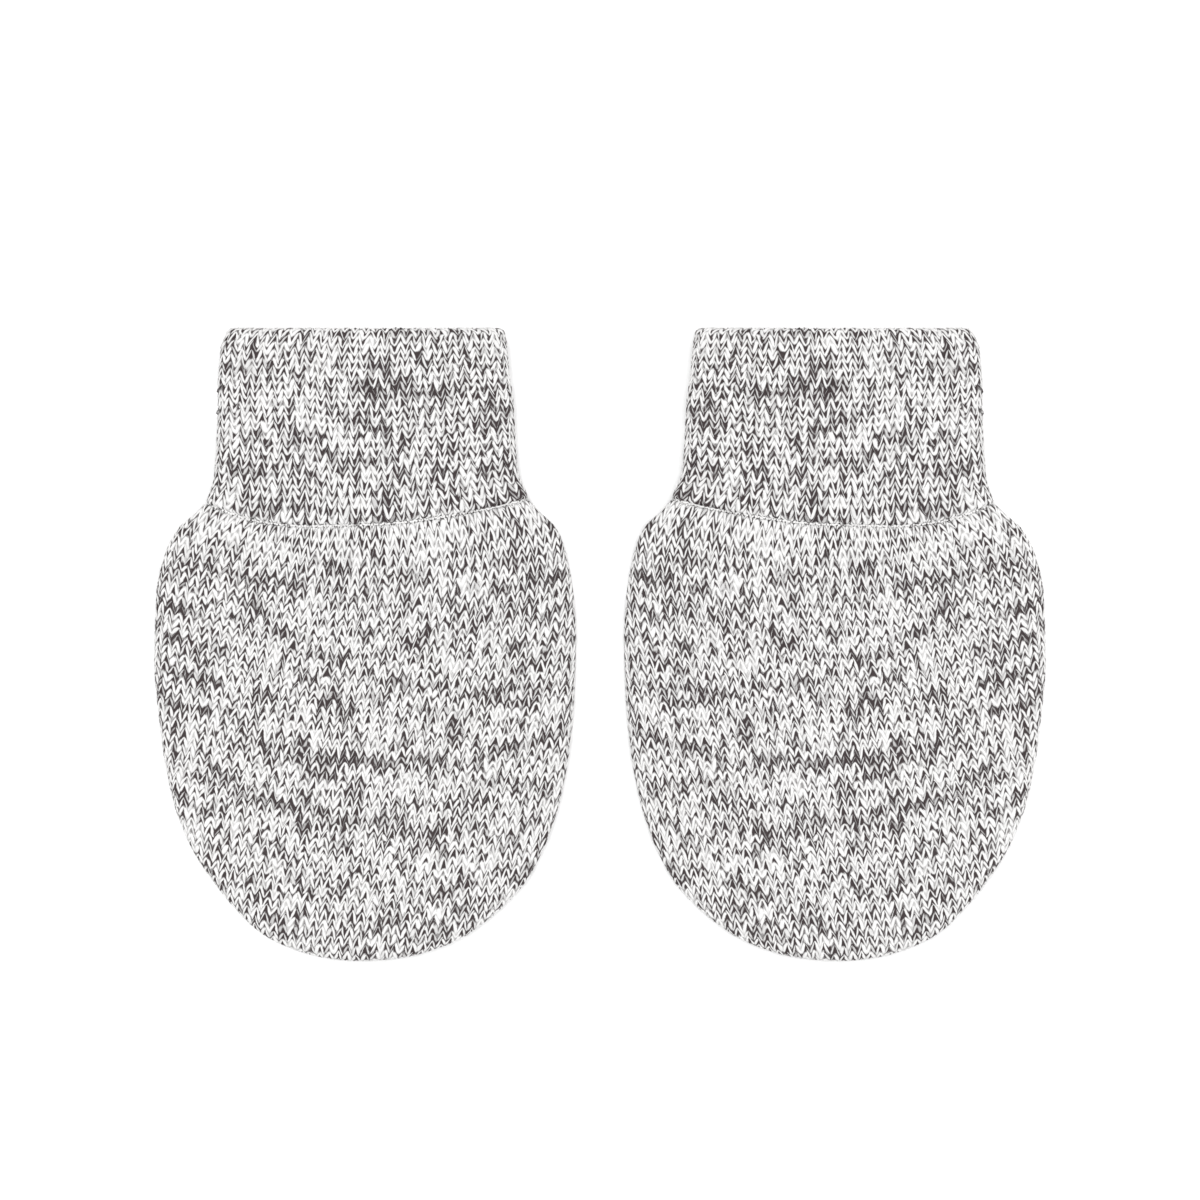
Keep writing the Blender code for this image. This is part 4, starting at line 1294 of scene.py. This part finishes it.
    def _place_on_leg(self) -> None:
        """Which leg, where on it, random numbers of its own, and fine fibres that run along it."""
        x = self.knit.node("SeparateXYZ", self.knit)
        y = Value(self.group, x.socket.node.outputs[1])
        wale, band = (place + (x.at(y).noise(scale) * far - far / 2) for place, (scale, far) in (
            (x, self.WANDER_ACROSS), (y, self.WANDER_DOWN)))
        self.wale, self.half = wale, wale * 2.0
        self.leg, self.row = self.half.math("FLOOR"), band.math("FLOOR")
        self.across, self.along = band.math("FRACT"), self.half.math("PINGPONG", 1.0)
        self.middle = self.along - 0.5
        self.chance = [self.leg.at(self.row, plane).random() for plane in self.CHANCES[:3]]
        along, across = self.FIBRES
        self.fibre = (self.half * along).at(band * across, self.chance[0]).noise(*self.FIBRE_NOISE)
        self.rough = self.fibre - 0.5

    def _darkness(self) -> None:
        """How dark the leg is: its share, a chance of its own, and a slow drift along the course.

        The drift darkens left legs while it lightens right ones, less where the yarn is dark all round.
        """
        left_or_right = self.leg.math("FLOORED_MODULO", 2.0) * 2.0 - 1.0
        along, across, plane = self.DRIFT
        drift = (self.wale * along).at(self.row * across, plane).noise() - 0.5
        drift = drift * (left_or_right * self.share.ramp(self.STEADY))
        scatter = self.chance[0] * self.SCATTER + self.chance[0].ramp(self.WHITER)
        self.heather = (self.share + (drift + scatter)).ramp(self.WHOLE)

    def _strand(self) -> None:
        """How far a place lies beyond the edge of the white strand, in shares of the band.

        The strand runs a little askew along the leg, arches to one side where two legs meet and lies to
        the other at its foot, finer at both ends. A fine furrow parts gathered wales, where painted shade
        shows.
        """
        skewed, other = self.chance[1:]
        apex = self.along.ramp(self.APEX)
        self.foot = self.along.ramp(Ramp(self.gather * self.GATHERED_FOOT + self.FOOT, 0.0))
        skew = self.middle * (skewed * self.SKEW - self.SKEW / 2)
        line = self.foot * self.gather.ramp(self.LOWER) + (apex * self.ARCH + 0.5)
        self.centre = self.across - line - skew
        width = self.heather.ramp(self.WIDTH) + (other * self.BY_CHANCE + self.gather.ramp(self.FULLER))
        width = width.math("MINIMUM", self.gather.ramp(self.MOST))
        finer = other * self.FINER_BY_CHANCE + self.gather.ramp(self.FINER)
        width = width - (apex * self.FINER_APEX + self.foot * finer) - self.rough * self.FRAYED
        # painted shade in the furrow between gathered wales: the strand narrows so the gap shows
        furrow = (self.rough * self.FURROW_FRAYED + self.along).ramp(self.FURROW)
        self.beyond = abs(self.centre) - width + furrow * self.gather.ramp(self.FURROW_GATHER)

    def _gap_shade_and_fibre(self) -> Value:
        """The gap between the strands: partly painted shade where the legs part, partly the dark fibres'
        share. It is a sum of shades, of which one is each gap's own chance.

        Returns:
            How dark it is.
        """
        along, plane = self.RUN
        row = self.row + self.centre.math("GREATER_THAN")
        self.own = self.half.math("ROUND").at(row, self.CHANCES[3]).random()
        run = (self.wale * along).at(row, plane).noise().ramp(self.ALONG_RUN)
        shade = self.heather * self.BY_SHARE + (self.rough * self.SHADE_FRAYED + self.SHADE)
        shade = shade + (run + abs(self.middle).ramp(self.ON_LEG))
        shade = shade + (self.foot * self.gather.ramp(self.AT_FOOT) + self.gather.ramp(self.AT_SEAM))
        return (self.own * self.OWN + shade).ramp(self.GAP_SHADE_AND_FIBRE)

    def _dark_strand(self) -> Value:
        """The charcoal strand, which winds over the white one at a slant.

        It covers more of it where the yarn is darker, and has white fibres caught along its ridge.

        Returns:
            How dark it makes each place.
        """
        either_way = self.chance[2].math("ROUND") * 2.0 - 1.0
        slant = (self.middle + self.centre) * self.SLANT * either_way + self.UNCOVERED
        over = (self.heather * self.COVER + slant + self.rough * self.EDGE_FRAYED).ramp(self.EDGE)
        caught = (self.fibre + self.chance[1] * self.CAUGHT_CHANCE).ramp(self.CAUGHT)
        return over * (abs(self.centre).ramp(self.RIDGE) * caught * -1.0 + self.DARKEST)


class Sun(NamedTuple):
    """A soft distant light: where it comes from, its spread in degrees and its strength."""

    name: str
    place: tuple[float, float, float]
    spread: float
    strength: float


@dataclass
class Studio:
    """A pale floor, soft light from above and a camera that looks straight down."""

    view_width: float = 227.1  # width of the picture at the cloth's level
    view_down: float = 8.5  # the picture's middle, towards the cuffs
    cloth_level: float = 3.0
    lens: float = 100.0
    sensor: float = 36.0
    sees: tuple[float, float] = (0.01, 10.0)  # nearest and farthest, in metres
    world_light: float = 0.70
    suns: tuple[Sun, ...] = (
        Sun("key_light", (-0.25, 0.38, 1.0), 35.0, 1.2), Sun("fill_light", (0.35, -0.2, 1.0), 60.0, 1.2),
    )
    floor_size: float = 3.0
    floor_gap: float = 0.05  # how far below the lowest stitches it lies
    floor_finish: tuple[tuple[str, object], ...] = (
        ("Base Color", (0.97, 0.97, 0.97, 1.0)), ("Roughness", 0.9), ("Specular IOR Level", 0.1),
    )

    def build(self) -> None:
        """Makes the floor, the world, the lights and the camera."""
        bpy.context.scene.view_settings.view_transform = "Standard"
        self._floor()
        self._world()
        for sun in self.suns:
            self._sun(sun)
        self._camera()

    def _floor(self) -> None:
        """The plain floor the mittens lie on, just clear of their lowest stitches."""
        bpy.ops.mesh.primitive_plane_add(size=self.floor_size, location=(0, 0, -self.floor_gap * MM))
        floor = bpy.context.object
        floor.name = "floor"
        material = bpy.data.materials.new("pale_floor")
        material.use_nodes = True
        for name, value in self.floor_finish:
            material.node_tree.nodes["Principled BSDF"].inputs[name].default_value = value
        floor.data.materials.append(material)

    def _world(self) -> None:
        """Even white light from all round."""
        world = bpy.context.scene.world = bpy.data.worlds.new("studio")
        world.use_nodes = True
        sockets = world.node_tree.nodes["Background"].inputs
        sockets["Color"].default_value, sockets["Strength"].default_value = (1, 1, 1, 1), self.world_light

    @staticmethod
    def _link(name: str, data: bpy.types.ID, place: tuple[float, float, float]) -> bpy.types.Object:
        """Makes a light or camera.

        Args:
            name: Its name.
            data: The light or camera itself.
            place: Where it goes.

        Returns:
            The linked object.
        """
        thing = bpy.data.objects.new(name, data)
        thing.location = place
        bpy.context.scene.collection.objects.link(thing)
        return thing

    def _sun(self, sun: Sun) -> None:
        """Hangs one light and turns it to the mittens.

        Args:
            sun: Its place, spread and strength.
        """
        data = bpy.data.lights.new(sun.name, "SUN")
        data.angle, data.energy = math.radians(sun.spread), sun.strength
        lamp = self._link(sun.name, data, sun.place)
        lamp.rotation_euler = (-Vector(sun.place)).to_track_quat("-Z", "Y").to_euler()

    def _camera(self) -> None:
        """A long lens straight above, at the distance where the picture has its width."""
        data = bpy.data.cameras.new("camera")
        data.lens, data.sensor_width = self.lens, self.sensor
        data.clip_start, data.clip_end = self.sees
        height = self.view_width * self.lens / self.sensor + self.cloth_level
        bpy.context.scene.camera = self._link("camera", data, (0.0, self.view_down * MM, height * MM))


@dataclass
class MittenPair:
    """Both mittens, piece by piece."""

    sizes: MittenSizes = MittenSizes()
    hand_gauge: KnitGauge = KnitGauge(wale=1.78, course=1.55, vee=Vee.MEETS_ABOVE, climb=0.9)
    cuff_gauge: KnitGauge = KnitGauge(wale=2.05, course=1.40, vee=Vee.MEETS_BELOW, climb=1.2, leave=1.1)
    hand_yarn: Heather = Heather()
    cuff_yarn: Heather = Heather(base=0.32)

    def build(self) -> None:
        """Knits each piece once and places it for both mittens, the right one mirrored."""
        plan, cloth = MittenPlan(self.sizes), ClothPiece(self.sizes)
        hand_finish, cuff_finish = (JerseyFinish(name).material() for name in ("hand_jersey", "cuff_jersey"))
        panel = HandPanel(plan, self.hand_gauge, self.hand_yarn)
        for facing in Facing:
            shell = panel.shell(facing)
            for side in Side:
                piece = cloth.make(f"{facing.name.lower()}_jersey", shell, side, hand_finish)
                rests_on = [side.named("back_panel")] if facing is Facing.FRONT else ["floor"]
                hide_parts(side.named(f"{facing.name.lower()}_panel"))
        cuff = CuffBand(plan, self.cuff_gauge, self.cuff_yarn)
        shell, thread = cuff.shell(), SeamThread(cuff).shell()
        for side in Side:
            piece = cloth.make("cuff_jersey", shell, side, cuff_finish)
            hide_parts(side.named("cuff"))
            cloth.make("seam_thread", thread, side, cuff_finish)


def main() -> None:
    """Loads the frame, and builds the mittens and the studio."""
    logging.basicConfig(level=logging.INFO, format="%(message)s")
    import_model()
    MittenPair().build()
    Studio().build()


if __name__ == "__main__":
    main()
